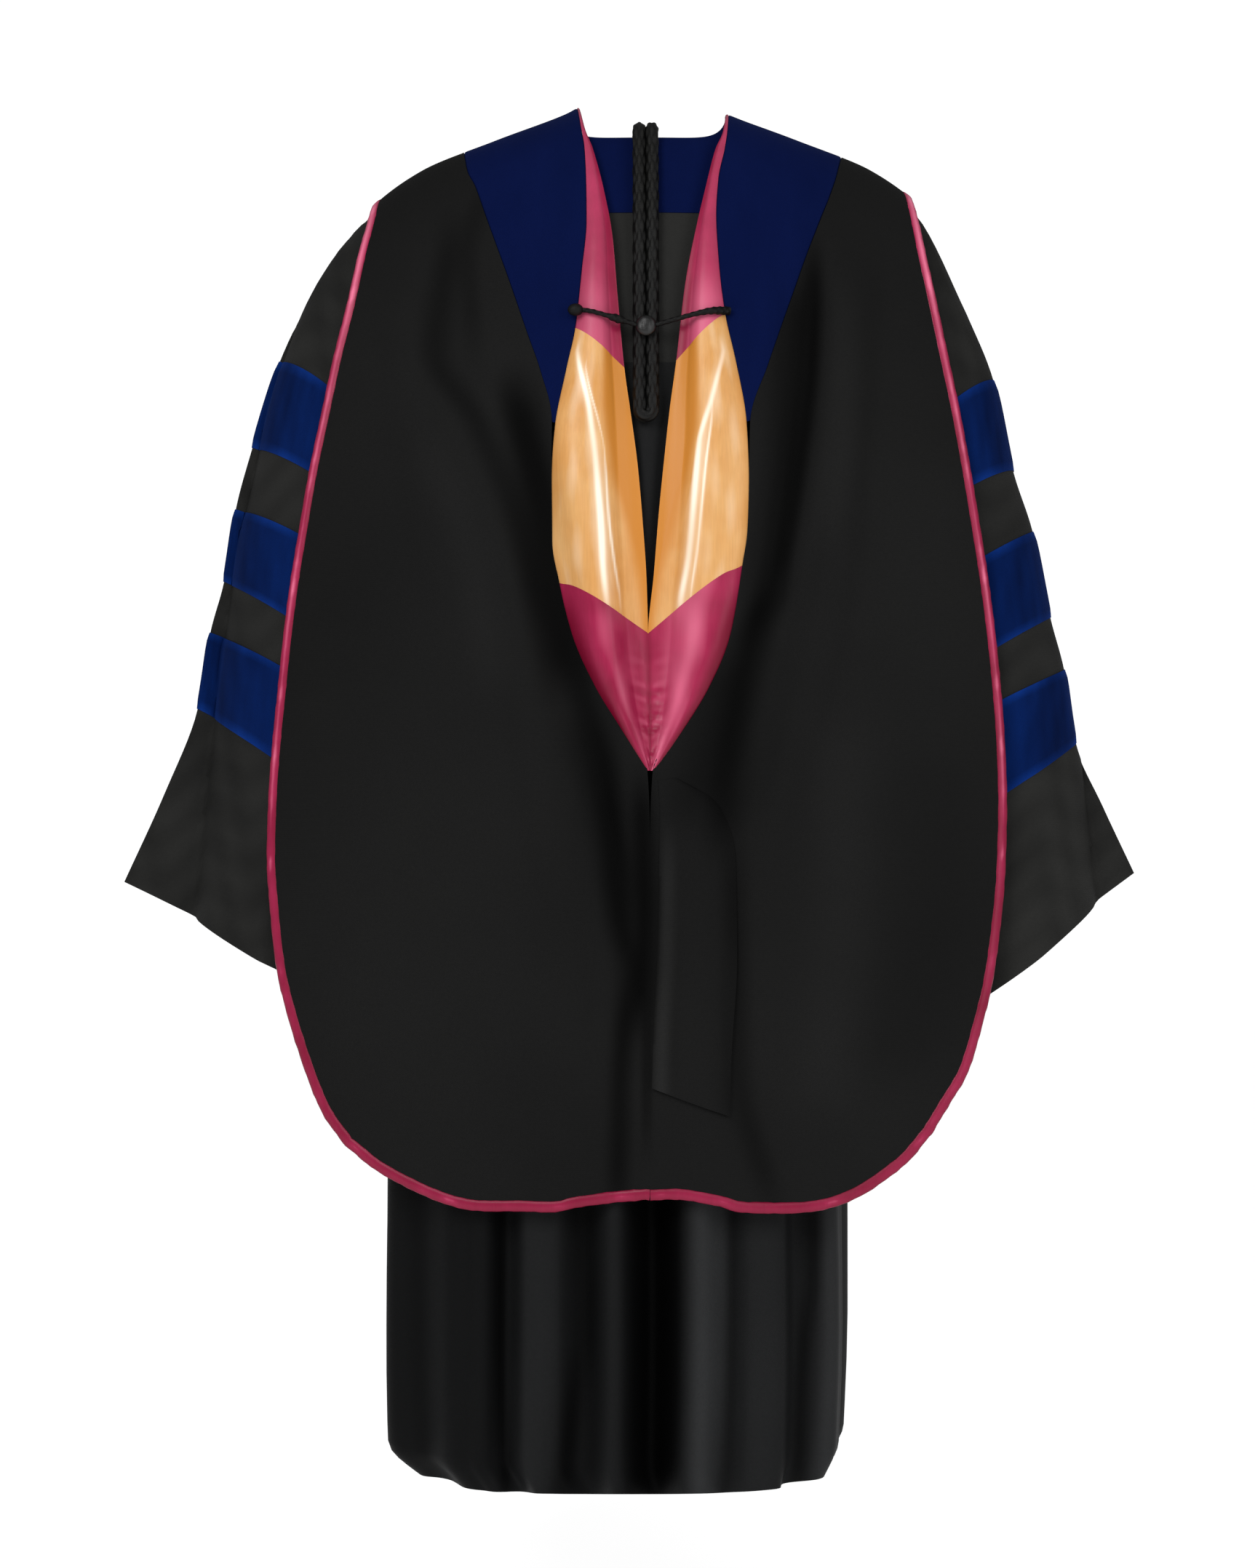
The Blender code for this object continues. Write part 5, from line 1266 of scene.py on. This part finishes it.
def make_materials():
    hood = cloth_material("hood_cloth", grey(0.0058), (0.0094, 0.0094, 0.0092), 0.05)
    gown = cloth_material(
        "gown_cloth_fine", (0.0098, 0.0098, 0.0092), (0.0145, 0.0145, 0.0136), 0.11, rumpled=0.55
    )
    skirt = cloth_material("skirt_cloth", (0.0056, 0.0058, 0.006), (0.0078, 0.008, 0.0083), 0.04, 0.6)
    cord = cloth_material("cord_braid", (0.003, 0.003, 0.0028), (0.006, 0.006, 0.0055), 0.16, 0.5)
    button = cloth_material("button_satin", grey(0.003), grey(0.006), 0.42, 0.2, 0.05)
    wide = velvet_material("hood_velvet_pile", (0.0008, 0.0036, 0.031), (0.0018, 0.0058, 0.045), 0.04)
    bars = velvet_material("bar_velvet_pile", (0.0004, 0.0045, 0.034), (0.0022, 0.019, 0.125), 0.06)
    pink = satin_material(
        "pink_satin_weave", (0.43, 0.024, 0.092), (0.125, 0.001, 0.012), (0.78, 0.17, 0.29), 0.34
    )
    gold = satin_material(
        "gold_satin_weave", (0.72, 0.445, 0.195), (0.52, 0.195, 0.026), (0.98, 0.88, 0.72), 0.3
    )
    return {
        "hood_cloth": hood, "gown_cloth": gown, "skirt_cloth": skirt, "hood_velvet": wide, "bar_velvet": bars,
        "pink": pink, "gold": gold, "cord": cord, "button": button,
    }


# Build


def hood_painted_shade_and_light(points):
    """Tone of the hood's black cloth, on its back only: painted shade in the creases, painted light on the low
    ridges, and slow patches over its panels.
    """
    x = points[..., 0]
    z = points[..., 2]
    _, tone = crease_values(HOOD_CREASES, x, z)
    patch = 1 + 0.12 * np.sin(9 * x + 4 * z + 0.5) * np.sin(7 * z - 6 * x)
    return np.where(points[..., 1] < 0, tone, 1.0) * patch


def skirt_painted_shade_and_light(points):
    """Tone of the skirt: painted shade in its troughs and painted light on its ridges, lighter to the wearer's
    right, and lighter towards the top.
    """
    x = points[..., 0]
    z = points[..., 2]
    _, tone = crease_values(SKIRT_CREASES, x, z)
    return SKIRT_TONE * tone * (1 + 0.8 * ease(0.02, 0.09, x)) * (1 + 1.4 * ease(-0.6, -0.4, z))


def gold_painted_shade_and_highlight(share, z, hand):
    """Tone of the gold satin: 0 for painted shade where it turns in, 1 plain, and 2 for painted highlights
    down its lines, with a little painted shade at its outer seam.
    """
    turn = 0.5 + 0.35 * ease(-0.25, -0.46, z)
    patch = np.sin(47 * z + 9 * share + hand) * np.sin(21 * share - 31 * z + 2.0)
    tone = 1 - 0.95 * ease(turn, turn + 0.16, share) + 0.16 * patch * bump((share - 0.25) / 0.35)
    tone = tone - 0.25 * bump((share - 0.03) / 0.08)
    for line in PAINTED_HIGHLIGHT_LINES:
        if line.hand == hand:
            levels, route = level_route(line.places)
            fade = ease(levels[0] - 0.03, levels[0] + 0.02, z) * ease(levels[-1] + 0.02, levels[-1] - 0.03, z)
            wave = 0.78 + 0.22 * np.sin(41 * z + 2 * hand)
            tone = tone + line.gain * wave * fade * bump((share - route(z)) / (line.half_width * 1.6))
    return tone


def upper_painted_shade_and_highlight(share, z, hand):
    """Tone of the upper pink satin: bright, with painted shade at its inner edge and a painted highlight above
    the gold seam.
    """
    low = ease(-0.115, -0.165, z) * (0.45 if hand > 0 else 0.25)
    return 1.14 - 0.5 * bump((share - 1) / 0.35) + low * bump((share - 0.4) / 0.6)


def lower_painted_shade_and_highlight(share, z, hand):
    """Tone of the lower pink satin: painted shade at its outer and inner edges, painted shade and highlight
    over the puckers of the middle seam, and a painted highlight down its middle.
    """
    edge = 1 - 0.8 * bump(share / 0.36) * ease(-0.42, -0.47, z)
    patch = np.sin(61 * z + 5 * share) * np.sin(15 * share - 33 * z + 1.0)
    pucker = np.sin(z * 430 + 9 * share) * np.sin(z * 97 + 3.0)
    pucker = pucker * ease(-0.48, -0.55, z) * bump((share - 0.9) / 0.25)
    middle = 0.42 * bump((share - 0.55) / 0.38) if hand > 0 else 0.1 * bump((share - 0.6) / 0.3)
    tone = edge + middle + 0.16 * patch * bump((share - 0.5) / 0.5)
    return tone + 0.22 * pucker - 0.45 * bump((share - 1) / 0.07)


def tail_painted_shade_and_light(points):
    """Tone of the tail strip: painted light down its free left edge, and painted shade where it lies in the
    crease and along its right edge.
    """
    share = np.linspace(0, 1, points.shape[1])[None, :]
    z = points[..., 2]
    light = 1 + 0.95 * bump((share - 0.1) / 0.18) * ease(-0.64, -0.72, z)
    own = hood_painted_shade_and_light(points)
    low = ease(-0.74, -0.84, z)
    return light * (own * (1 - low) + np.maximum(own, 0.85) * low) * (1 - 0.25 * bump((share - 1) / 0.3))


def bar_painted_sheen(shape):
    """Tone of a sleeve's velvet bar: a painted sheen along both of its edges, over soft uneven patches."""
    down = np.linspace(-1, 1, shape[0])[:, None]
    around = np.linspace(0, 2 * math.pi, shape[1])[None, :]
    patch = np.sin(9 * around + 2 * down) * np.sin(23 * around - 3 * down + 1.0)
    edge = 0.75 * ease(0.78, 0.96, np.abs(down))
    return 0.72 + edge * (1 + 0.4 * np.sin(7 * around)) + 0.1 * patch + 0.12 * np.sin(5 * around + 1.0)


def sleeve_patches_and_painted_crumples(points):
    """Tone of the sleeves: soft uneven patches, painted shade and light of small crumples, and lighter low
    down on the wearer's right.
    """
    x = points[..., 0]
    z = points[..., 2]
    patch = np.sin(17 * z + 11 * x) * np.sin(31 * x - 13 * z + 0.7)
    crumple = np.sin(95 * z + 40 * x + 2 * np.sin(60 * x)) * np.sin(70 * x - 55 * z)
    return 0.98 + 0.12 * patch + 0.26 * crumple + 0.18 * ease(-0.35, -0.85, z) * (x > 0)


def grid_size(points, loop=False):
    """Width and length of the flat cloth that a grid of points stands for, and its area."""
    if loop:
        points = np.concatenate([points, points[:, :1]], axis=1)
    across = np.diff(points, axis=1)
    along = np.diff(points, axis=0)
    width = np.linalg.norm(across, axis=-1).sum(axis=1).max()
    length = np.linalg.norm(along, axis=-1).sum(axis=0).max()
    first = np.linalg.norm(np.cross(across[:-1], along[:, :-1]), axis=-1) / 2
    second = np.linalg.norm(np.cross(across[1:], along[:, 1:]), axis=-1) / 2
    return float(width), float(length), float(first.sum() + second.sum())


def sheet(points, loop=False):
    width, length, area = grid_size(points, loop)
    width = min(width, area / (SLIMMEST_CUT * length))


def cloth_piece(name, node, slot, grid, material, held, rests_on=(), **shape):
    item = cloth(name, grid, material, **shape)
    finish_piece(item, [node])
    sheet(grid[0], shape.get("loop", False))
    return item


def build_gown(materials):
    black = materials["gown_cloth"]
    velvet = materials["bar_velvet"]
    on_top = GOWN_CLOTH / 2 + SEAM_GAP + VELVET / 2
    yoke = yoke_grid(FINE)
    back = back_grid(FINE)
    coarse_yoke = yoke_grid(1)[0]
    coarse_back = back_grid(1)[0]
    ones = np.ones(yoke[0].shape[:2])
    cloth_piece("yoke_cloth", "back_yoke", "gown_cloth", yoke, black, "laid", shade=YOKE_TONE * ones)
    rows = 2 * FINE + 1
    neck = (yoke[0][:rows], yoke[1][:rows])
    cloth_piece("neck_band_velvet", "back_neck_velvet", "velvet", neck, materials["hood_velvet"], "laid",
                ["yoke_cloth"], thickness=VELVET, lift=on_top, roll=1)
    cloth_piece("back_skirt_cloth", "back_panel", "gown_cloth", back, materials["skirt_cloth"], "gathered",
                ["yoke_cloth"], shade=skirt_painted_shade_and_light(back[0]))
    for hand, side, table in ((-1, "left", LEFT_SLEEVE), (1, "right", RIGHT_SLEEVE)):
        front = front_grid(hand, FINE)
        coarse_front = front_grid(hand, 1)[0]
        cloth_piece(f"front_cloth_{side}", f"front_{side}", "gown_cloth", front, materials["skirt_cloth"],
                    "hung", ["yoke_cloth"], shade=FRONT_TONE * np.ones(front[0].shape[:2]))
        strip = FACING_COLUMNS * FINE + 1
        facing = (front[0][:, :strip], front[1][:, :strip])
        cloth_piece(f"front_facing_velvet_{side}", f"front_velvet_{side}", "velvet", facing,
                    materials["hood_velvet"], "laid", [f"front_cloth_{side}"], thickness=VELVET, lift=on_top,
                    roll=1)
        loop = armhole_loop(coarse_yoke, coarse_back, coarse_front, hand)
        points = sleeve_points(table, hand, loop)
        normals = ring_normals(points) * hand
        cloth_piece(f"sleeve_cloth_{side}", f"sleeve_{side}", "gown_cloth", (points, normals), black,
                    "hung", ["yoke_cloth"], loop=True, shade=sleeve_patches_and_painted_crumples(points))
        for number, (first, last) in enumerate(SLEEVE_BARS, start=1):
            part = slice(first * SLEEVE_ROW_STEPS, last * SLEEVE_ROW_STEPS + 1)
            cloth_piece(f"sleeve_bar_velvet_{side}_{number}", f"sleeve_bar_{side}_{number}", "velvet",
                        (points[part], normals[part]), velvet, "laid", [f"sleeve_cloth_{side}"],
                        thickness=VELVET, lift=on_top, loop=True, roll=2,
                        shade=bar_painted_sheen(points[part].shape[:2]))


def build_hood(materials):
    black = materials["hood_cloth"]
    for hand, side, rows, hem in (
        (-1, "left", LEFT_ROWS, LEFT_HOOD_HEM),
        (1, "right", RIGHT_ROWS, RIGHT_HOOD_HEM),
    ):
        shell = hood_shell_grid(rows, hem, hand)
        cloth_piece(f"hood_panel_{side}", f"hood_shell_{side}", "gown_cloth", shell, black, "draped",
                    ["yoke_cloth"], shade=hood_painted_shade_and_light(shell[0]))
        velvet = velvet_grid(rows, hand)
        cloth_piece(f"hood_band_velvet_{side}", f"hood_velvet_{side}", "velvet", velvet,
                    materials["hood_velvet"], "draped", ["yoke_cloth"], thickness=VELVET, roll=2)
        parts = (
            ("upper", RIDGE_ROW, SATIN_SEAM_ROW, "pink", upper_painted_shade_and_highlight),
            ("gold", SATIN_SEAM_ROW, GOLD_LAST_ROW, "gold", gold_painted_shade_and_highlight),
            ("lower", GOLD_LAST_ROW, LINING_LAST_ROW, "pink", lower_painted_shade_and_highlight),
        )
        for name, first, last, kind, tone in parts:
            lining = lining_grid(rows, hand, first, last)
            z = lining[0][..., 2]
            share = np.linspace(0, 1, FINE_LINING_COLUMNS + 1)[None, :] + 0 * z
            cloth_piece(f"hood_satin_{side}_{name}", f"hood_lining_{side}_{name}", kind + "_satin", lining,
                        materials[kind], "folded", [f"hood_band_velvet_{side}"], thickness=SATIN,
                        shade=tone(share, z, hand))
        path, _ = hood_edge_path(rows, hem, hand, EDGE_STEPS)
        edging(f"hood_piping_{side}", f"hood_edging_{side}", path, hand, materials["pink"])
    tail = tail_grid()
    cloth_piece("hood_tail_strip", "hood_tail", "gown_cloth", tail, black, "laid",
                ["hood_panel_left", "hood_panel_right"], thickness=TAIL_THICKNESS, roll=3,
                shade=tail_painted_shade_and_light(tail[0]))


def edging(name, node, path, hand, material, sides=14):
    """The satin edging: a flat tube along the hood's edge, with small gathers."""
    points, normals = hood_point(path[:, 0], path[:, 1])
    tangents = unit(np.gradient(points, axis=0))
    sideways = unit(np.cross(normals, tangents))
    lengths = run_lengths(points)
    turns = 2 * math.pi * (np.arange(sides) + 0.5) / sides
    rings = []
    for turn in turns:
        gather = 1 + 0.035 * np.sin(lengths * 480 + 2 * math.sin(turn)) + 0.03 * np.sin(lengths * 233 + 1.3)
        rings.append(
            points
            + sideways * (math.cos(turn) * EDGING_HALF_WIDTH * gather)[:, None]
            + normals * (math.sin(turn) * EDGING_HALF_THICKNESS * (2 * gather - 1))[:, None]
        )
    rings = np.stack(rings, axis=1)
    middle = np.where(path[:, 1] > 0, CENTRE_X, 0.0)[:, None] + hand * SEAM_GAP / 2
    rings[..., 0] = hand * np.maximum(hand * rings[..., 0], hand * middle)
    # Painted light on the edging: lighter towards the top of the hood, painted glints and a painted highlight
    # along its crest that fades out low on the hood, and painted shade on its two sides
    top = ease(-0.3, -0.05, points[:, 2])[:, None]
    painted_glint = np.sin(lengths * 61 + 1.0) * np.sin(lengths * 23 + 0.4) * np.sin(lengths * 149)
    from_crest = turns[None, :] - math.pi / 2
    tone = 0.72 + 0.55 * top + 0.55 * np.clip(painted_glint, 0, 1)[:, None] * bump(from_crest / 0.9)
    glossy = ease(-0.82, -0.55, points[:, 2])[:, None] * (0.8 + 0.2 * np.sin(lengths * 37))[:, None]
    tone = tone + 0.75 * glossy * bump(from_crest / 0.8)
    tone = tone - 0.35 * np.abs(np.cos(turns))[None, :] ** 3
    return finish_piece(tube(name, rings, material, tone.reshape(-1)), [node])


def tube(name, rings, material, shade):
    """A closed tube through rings of points with flat ends."""
    count, sides = rings.shape[:2]
    ring = np.repeat(np.arange(count - 1), sides)
    side = np.tile(np.arange(sides), count - 1)
    after = (side + 1) % sides
    faces = np.stack([ring * sides + side, ring * sides + after, (ring + 1) * sides + after,
                      (ring + 1) * sides + side], axis=-1)
    middle = rings.mean(axis=1)
    r = count // 2
    outward = rings[r, 0] - middle[r]
    normal = np.cross(rings[r, 1] - rings[r, 0], rings[r + 1, 0] - rings[r, 0])
    faces = faces.tolist()
    caps = [list(reversed(range(sides))), [(count - 1) * sides + j for j in range(sides)]]
    if float(np.dot(normal, outward)) < 0:
        faces = [face[::-1] for face in faces]
        caps = [cap[::-1] for cap in caps]
    return make_mesh(name, rings.reshape(-1, 3), faces + caps, material, shade)


def smooth_route(places, spacing):
    """Evenly spaced points on a smooth curve through the places."""
    places = np.array(places, float)
    lengths = run_lengths(places)
    reads = [smooth_curve(lengths, places[:, i]) for i in range(3)]
    count = max(2, int(round(lengths[-1] / spacing)))
    at = np.linspace(0, lengths[-1], count + 1)
    return np.stack([read(at) for read in reads], axis=-1)


def over_yoke(x, z, lift):
    """A place lifted off the gown's back at x and z."""
    return gown_point(np.array(x), np.array(z), np.array(1.0), lift=np.array(lift))[0]


def loop_route():
    """The braided cord: out over the neck edge, down the back, round, and up again."""
    on_velvet = GOWN_CLOTH / 2 + SEAM_GAP + VELVET + CORD_REST + LOOP_CORD_RADIUS
    on_cloth = GOWN_CLOTH / 2 + 2 * CORD_REST + LOOP_CORD_RADIUS
    x = BUTTON_X - LOOP_CORD_SPREAD
    edge, normal = gown_point(np.array(x), np.array(NECK_EDGE_Z - SEAM_GAP), np.array(1.0),
                              lift=np.array((GOWN_CLOTH + SEAM_GAP) / 2))
    normal = unit(normal * (0, 1, 1))
    upward = np.array([0.0, -normal[2], normal[1]])
    upward = upward * np.sign(upward[2])
    reach = (GOWN_CLOTH + SEAM_GAP + VELVET) / 2 + LOOP_CORD_RADIUS + 2 * CORD_REST
    over_edge = [
        tuple(edge + reach * (normal * math.cos(turn) + upward * math.sin(turn)))
        for turn in np.radians([180, 150, 120, 90, 60, 30])
    ]
    inside_end = tuple(np.array(over_edge[0]) - upward * INSIDE_CORD_LENGTH)
    down = [inside_end] + over_edge + [
        tuple(over_yoke(x, z, lift)) for z, lift in (
            (NECK_EDGE_Z - 0.014, on_velvet),
            (-0.025, on_velvet),
            (-NECK_VELVET_DEPTH, on_velvet),
            (-NECK_VELVET_DEPTH - 0.01, on_velvet),
            (-0.115, on_cloth),
            (-0.18, on_cloth),
            (-0.22, on_cloth + LOOP_SWELL / 2),
            (-0.25, on_cloth + LOOP_SWELL),
            (LOOP_END_Z + LOOP_CORD_SPREAD, on_cloth + LOOP_SWELL),
        )
    ]
    centre = np.array(down[-1]) + (LOOP_CORD_SPREAD, 0, 0)
    turn = [
        tuple(centre + (-LOOP_CORD_SPREAD * math.cos(a), 0, -LOOP_CORD_SPREAD * math.sin(a)))
        for a in np.linspace(0, math.pi, 7)[1:-1]
    ]
    up = [(2 * BUTTON_X - px, py, pz) for px, py, pz in reversed(down)]
    left = smooth_route(down, LOOP_CORD_STEP)
    right = smooth_route(up, LOOP_CORD_STEP)
    return np.concatenate([left, np.array(turn), right])


def braid(name, route, radius, material, strands=6, pitch=0.021, relief=0.15, sides=48, step=0.0008,
          tone=1.0, swell=None):
    """A round braided cord: two sets of strands wind opposite ways and pass over each other."""
    path = smooth_route(route, step)
    tangent = unit(np.gradient(path, axis=0))
    ahead = np.array([0.0, -1.0, 0.0])
    across = unit(np.cross(tangent, ahead) + 1e-9)
    up = unit(np.cross(across, tangent))
    lengths = run_lengths(path)
    if swell is not None:
        radius = radius * (1 + swell(lengths / lengths[-1]))
    phase = 2 * math.pi * lengths / pitch
    rings = []
    tones = []
    for i in range(sides):
        turn = 2 * math.pi * i / sides
        right = np.abs(np.sin((strands * turn + phase) / 2))
        left = np.abs(np.sin((strands * turn - phase) / 2))
        over = (right * left)**0.7
        size = radius * (1 - relief + relief * over)
        rings.append(path + across * (math.cos(turn) * size)[:, None] + up * (math.sin(turn) * size)[:, None])
        # Painted shade where the strands dip under each other, and painted light on their crossings
        tones.append(tone * (0.3 + 1.5 * over**2))
    return tube(name, np.stack(rings, axis=1), material, np.stack(tones, axis=1).reshape(-1)), path


def build_cords(materials):
    route = loop_route()
    item, path = braid("cord_loop_braid", route, BRAID_RADIUS, materials["cord"])
    finish_piece(item, ["back_cord_loop"])
    length = float(run_lengths(path)[-1])
    button_and_cords(materials, route)


def ball(name, centre, radii, material, node, tone=1.0, rings=28, sides=36):
    """A rounded body with closed poles, used for the covered button and the tied knots."""
    turns = 2 * math.pi * np.arange(sides) / sides
    falls = np.linspace(0.04, math.pi - 0.04, rings)
    rows = []
    for fall in falls:
        x = np.cos(turns) * math.sin(fall) * radii[0]
        z = np.sin(turns) * math.sin(fall) * radii[2]
        y = -math.cos(fall) * radii[1] + 0 * x
        rows.append(np.stack([centre[0] + x, centre[1] + y, centre[2] + z], axis=-1))
    rows = np.array(rows)
    return finish_piece(tube(name, rows, material, tone * np.ones(rings * sides)), [node])


def sliding_knot(share):
    """Extra thickness of the left thin cord along its length: a small knot that slides on it."""
    return 0.75 * bump((share - 0.66) / 0.17) ** 0.5


def sewn_end(share):
    """Extra thickness of the right thin cord, doubled where it is sewn on and thinner inwards."""
    return 0.75 * (1 - ease(0.05, 0.6, share))


def button_and_cords(materials, route):
    """The covered button, the hood's thin cord at each side of it, and the knot on its left end."""
    front_y = float(np.min(route[np.abs(route[:, 2] - BUTTON_Z) < 0.02][:, 1])) - LOOP_CORD_RADIUS
    bulge = BUTTON_FLATNESS * math.sqrt(BUTTON_RADIUS**2 - LOOP_CORD_SPREAD**2)
    centre_y = front_y - bulge - SEAM_GAP
    flat = BUTTON_RADIUS * BUTTON_FLATNESS
    ball("button_cover", (BUTTON_X, centre_y, BUTTON_Z), (BUTTON_RADIUS, flat, BUTTON_RADIUS),
         materials["button"], "back_button", 0.9)
    for hand, x, z in ((-1, LEFT_CORD_X, LEFT_CORD_Z), (1, RIGHT_CORD_X, RIGHT_CORD_Z)):
        side = "left" if hand < 0 else "right"
        anchor, normal = hood_point(np.array(x), hood_fall(np.array(x), np.array(z), 1))
        start = anchor + normal * (VELVET / 2 + HOOD_CORD_RADIUS + CORD_REST)
        if hand < 0:
            knot = anchor + normal * (VELVET / 2 + KNOT_RADIUS + KNOT_REST)
            radii = [KNOT_RADIUS * share for share in KNOT_SHAPE]
            ball("cord_knot_left", knot, radii, materials["cord"], "hood_knot_left", 0.6)
            start = knot + (KNOT_RADIUS * CORD_INTO_KNOT, 0, 0)
        end = np.array([BUTTON_X + hand * BUTTON_RADIUS * CORD_INTO_BUTTON, centre_y, BUTTON_Z + 0.001])
        crest_x = CREST_SHARE * x
        crest_z = z + (BUTTON_Z - z) * (1 - CREST_SHARE)
        crest, _ = hood_point(np.array(crest_x), hood_fall(np.array(crest_x), np.array(crest_z), 1),
                              np.array(LINING_BULGE + HOOD_CORD_RADIUS))
        swell = sliding_knot if hand < 0 else sewn_end
        thin_route = smooth_route([start, crest, end], THIN_CORD_SPACING)
        item, _ = braid(f"thin_cord_{side}", thin_route, HOOD_CORD_RADIUS * 1.15, materials["cord"], strands=3,
                        pitch=0.007, relief=0.22, sides=16, step=0.0006, tone=0.45, swell=swell)
        finish_piece(item, [f"hood_cord_{side}"])


def build_stage():
    mesh = bpy.data.meshes.new("floor_mesh")
    corners = [(x * FLOOR_REACH, y * FLOOR_REACH, FLOOR_Z) for x, y in ((-1, -1), (1, -1), (1, 1), (-1, 1))]
    mesh.from_pydata(corners, [], [(0, 1, 2, 3)])
    floor = bpy.data.objects.new("floor", mesh)
    bpy.context.scene.collection.objects.link(floor)
    material = bpy.data.materials.new("floor_paper")
    material.use_nodes = True
    shader = material.node_tree.nodes["Principled BSDF"]
    shader.inputs["Base Color"].default_value = (*grey(FLOOR_GREY), 1)
    shader.inputs["Roughness"].default_value = 0.9
    shader.inputs["Emission Color"].default_value = (1, 1, 1, 1)
    shader.inputs["Emission Strength"].default_value = FLOOR_GLOW
    mesh.materials.append(material)


def area_light(name, place, target, size, power):
    data = bpy.data.lights.new(name, "AREA")
    data.shape = "RECTANGLE"
    data.size, data.size_y = size
    data.energy = power
    item = bpy.data.objects.new(name, data)
    item.location = place
    item.rotation_euler = (Vector(target) - Vector(place)).to_track_quat("-Z", "Y").to_euler()
    bpy.context.scene.collection.objects.link(item)


def build_light():
    """Soft light from all round, a white background for the camera, and three soft lamps."""
    world = bpy.data.worlds.new("studio")
    bpy.context.scene.world = world
    world.use_nodes = True
    tree = world.node_tree
    tree.nodes.clear()
    soft = add_node(tree, "ShaderNodeBackground", Color=(1, 1, 1, 1), Strength=WORLD_LIGHT)
    white = add_node(tree, "ShaderNodeBackground", Color=(1, 1, 1, 1), Strength=BACKGROUND_WHITE)
    seen = add_node(tree, "ShaderNodeLightPath")
    mix = add_node(tree, "ShaderNodeMixShader", _0=seen.outputs["Is Camera Ray"], _1=soft.outputs[0],
                   _2=white.outputs[0])
    add_node(tree, "ShaderNodeOutputWorld", _0=mix.outputs[0])
    for lamp in LAMPS:
        area_light(*lamp)


def build_camera():
    data = bpy.data.cameras.new("camera")
    data.sensor_width = SENSOR_WIDTH
    data.lens = CAMERA_LENS
    data.clip_end = 50
    camera = bpy.data.objects.new("camera", data)
    camera.location = CAMERA_PLACE
    camera.rotation_euler = (math.pi / 2, 0, 0)
    bpy.context.scene.collection.objects.link(camera)
    bpy.context.scene.camera = camera
    bpy.context.scene.view_settings.view_transform = "Standard"


def main():
    build_camera()
    materials = make_materials()
    build_cords(materials)
    build_gown(materials)
    build_hood(materials)
    build_stage()
    build_light()


main()
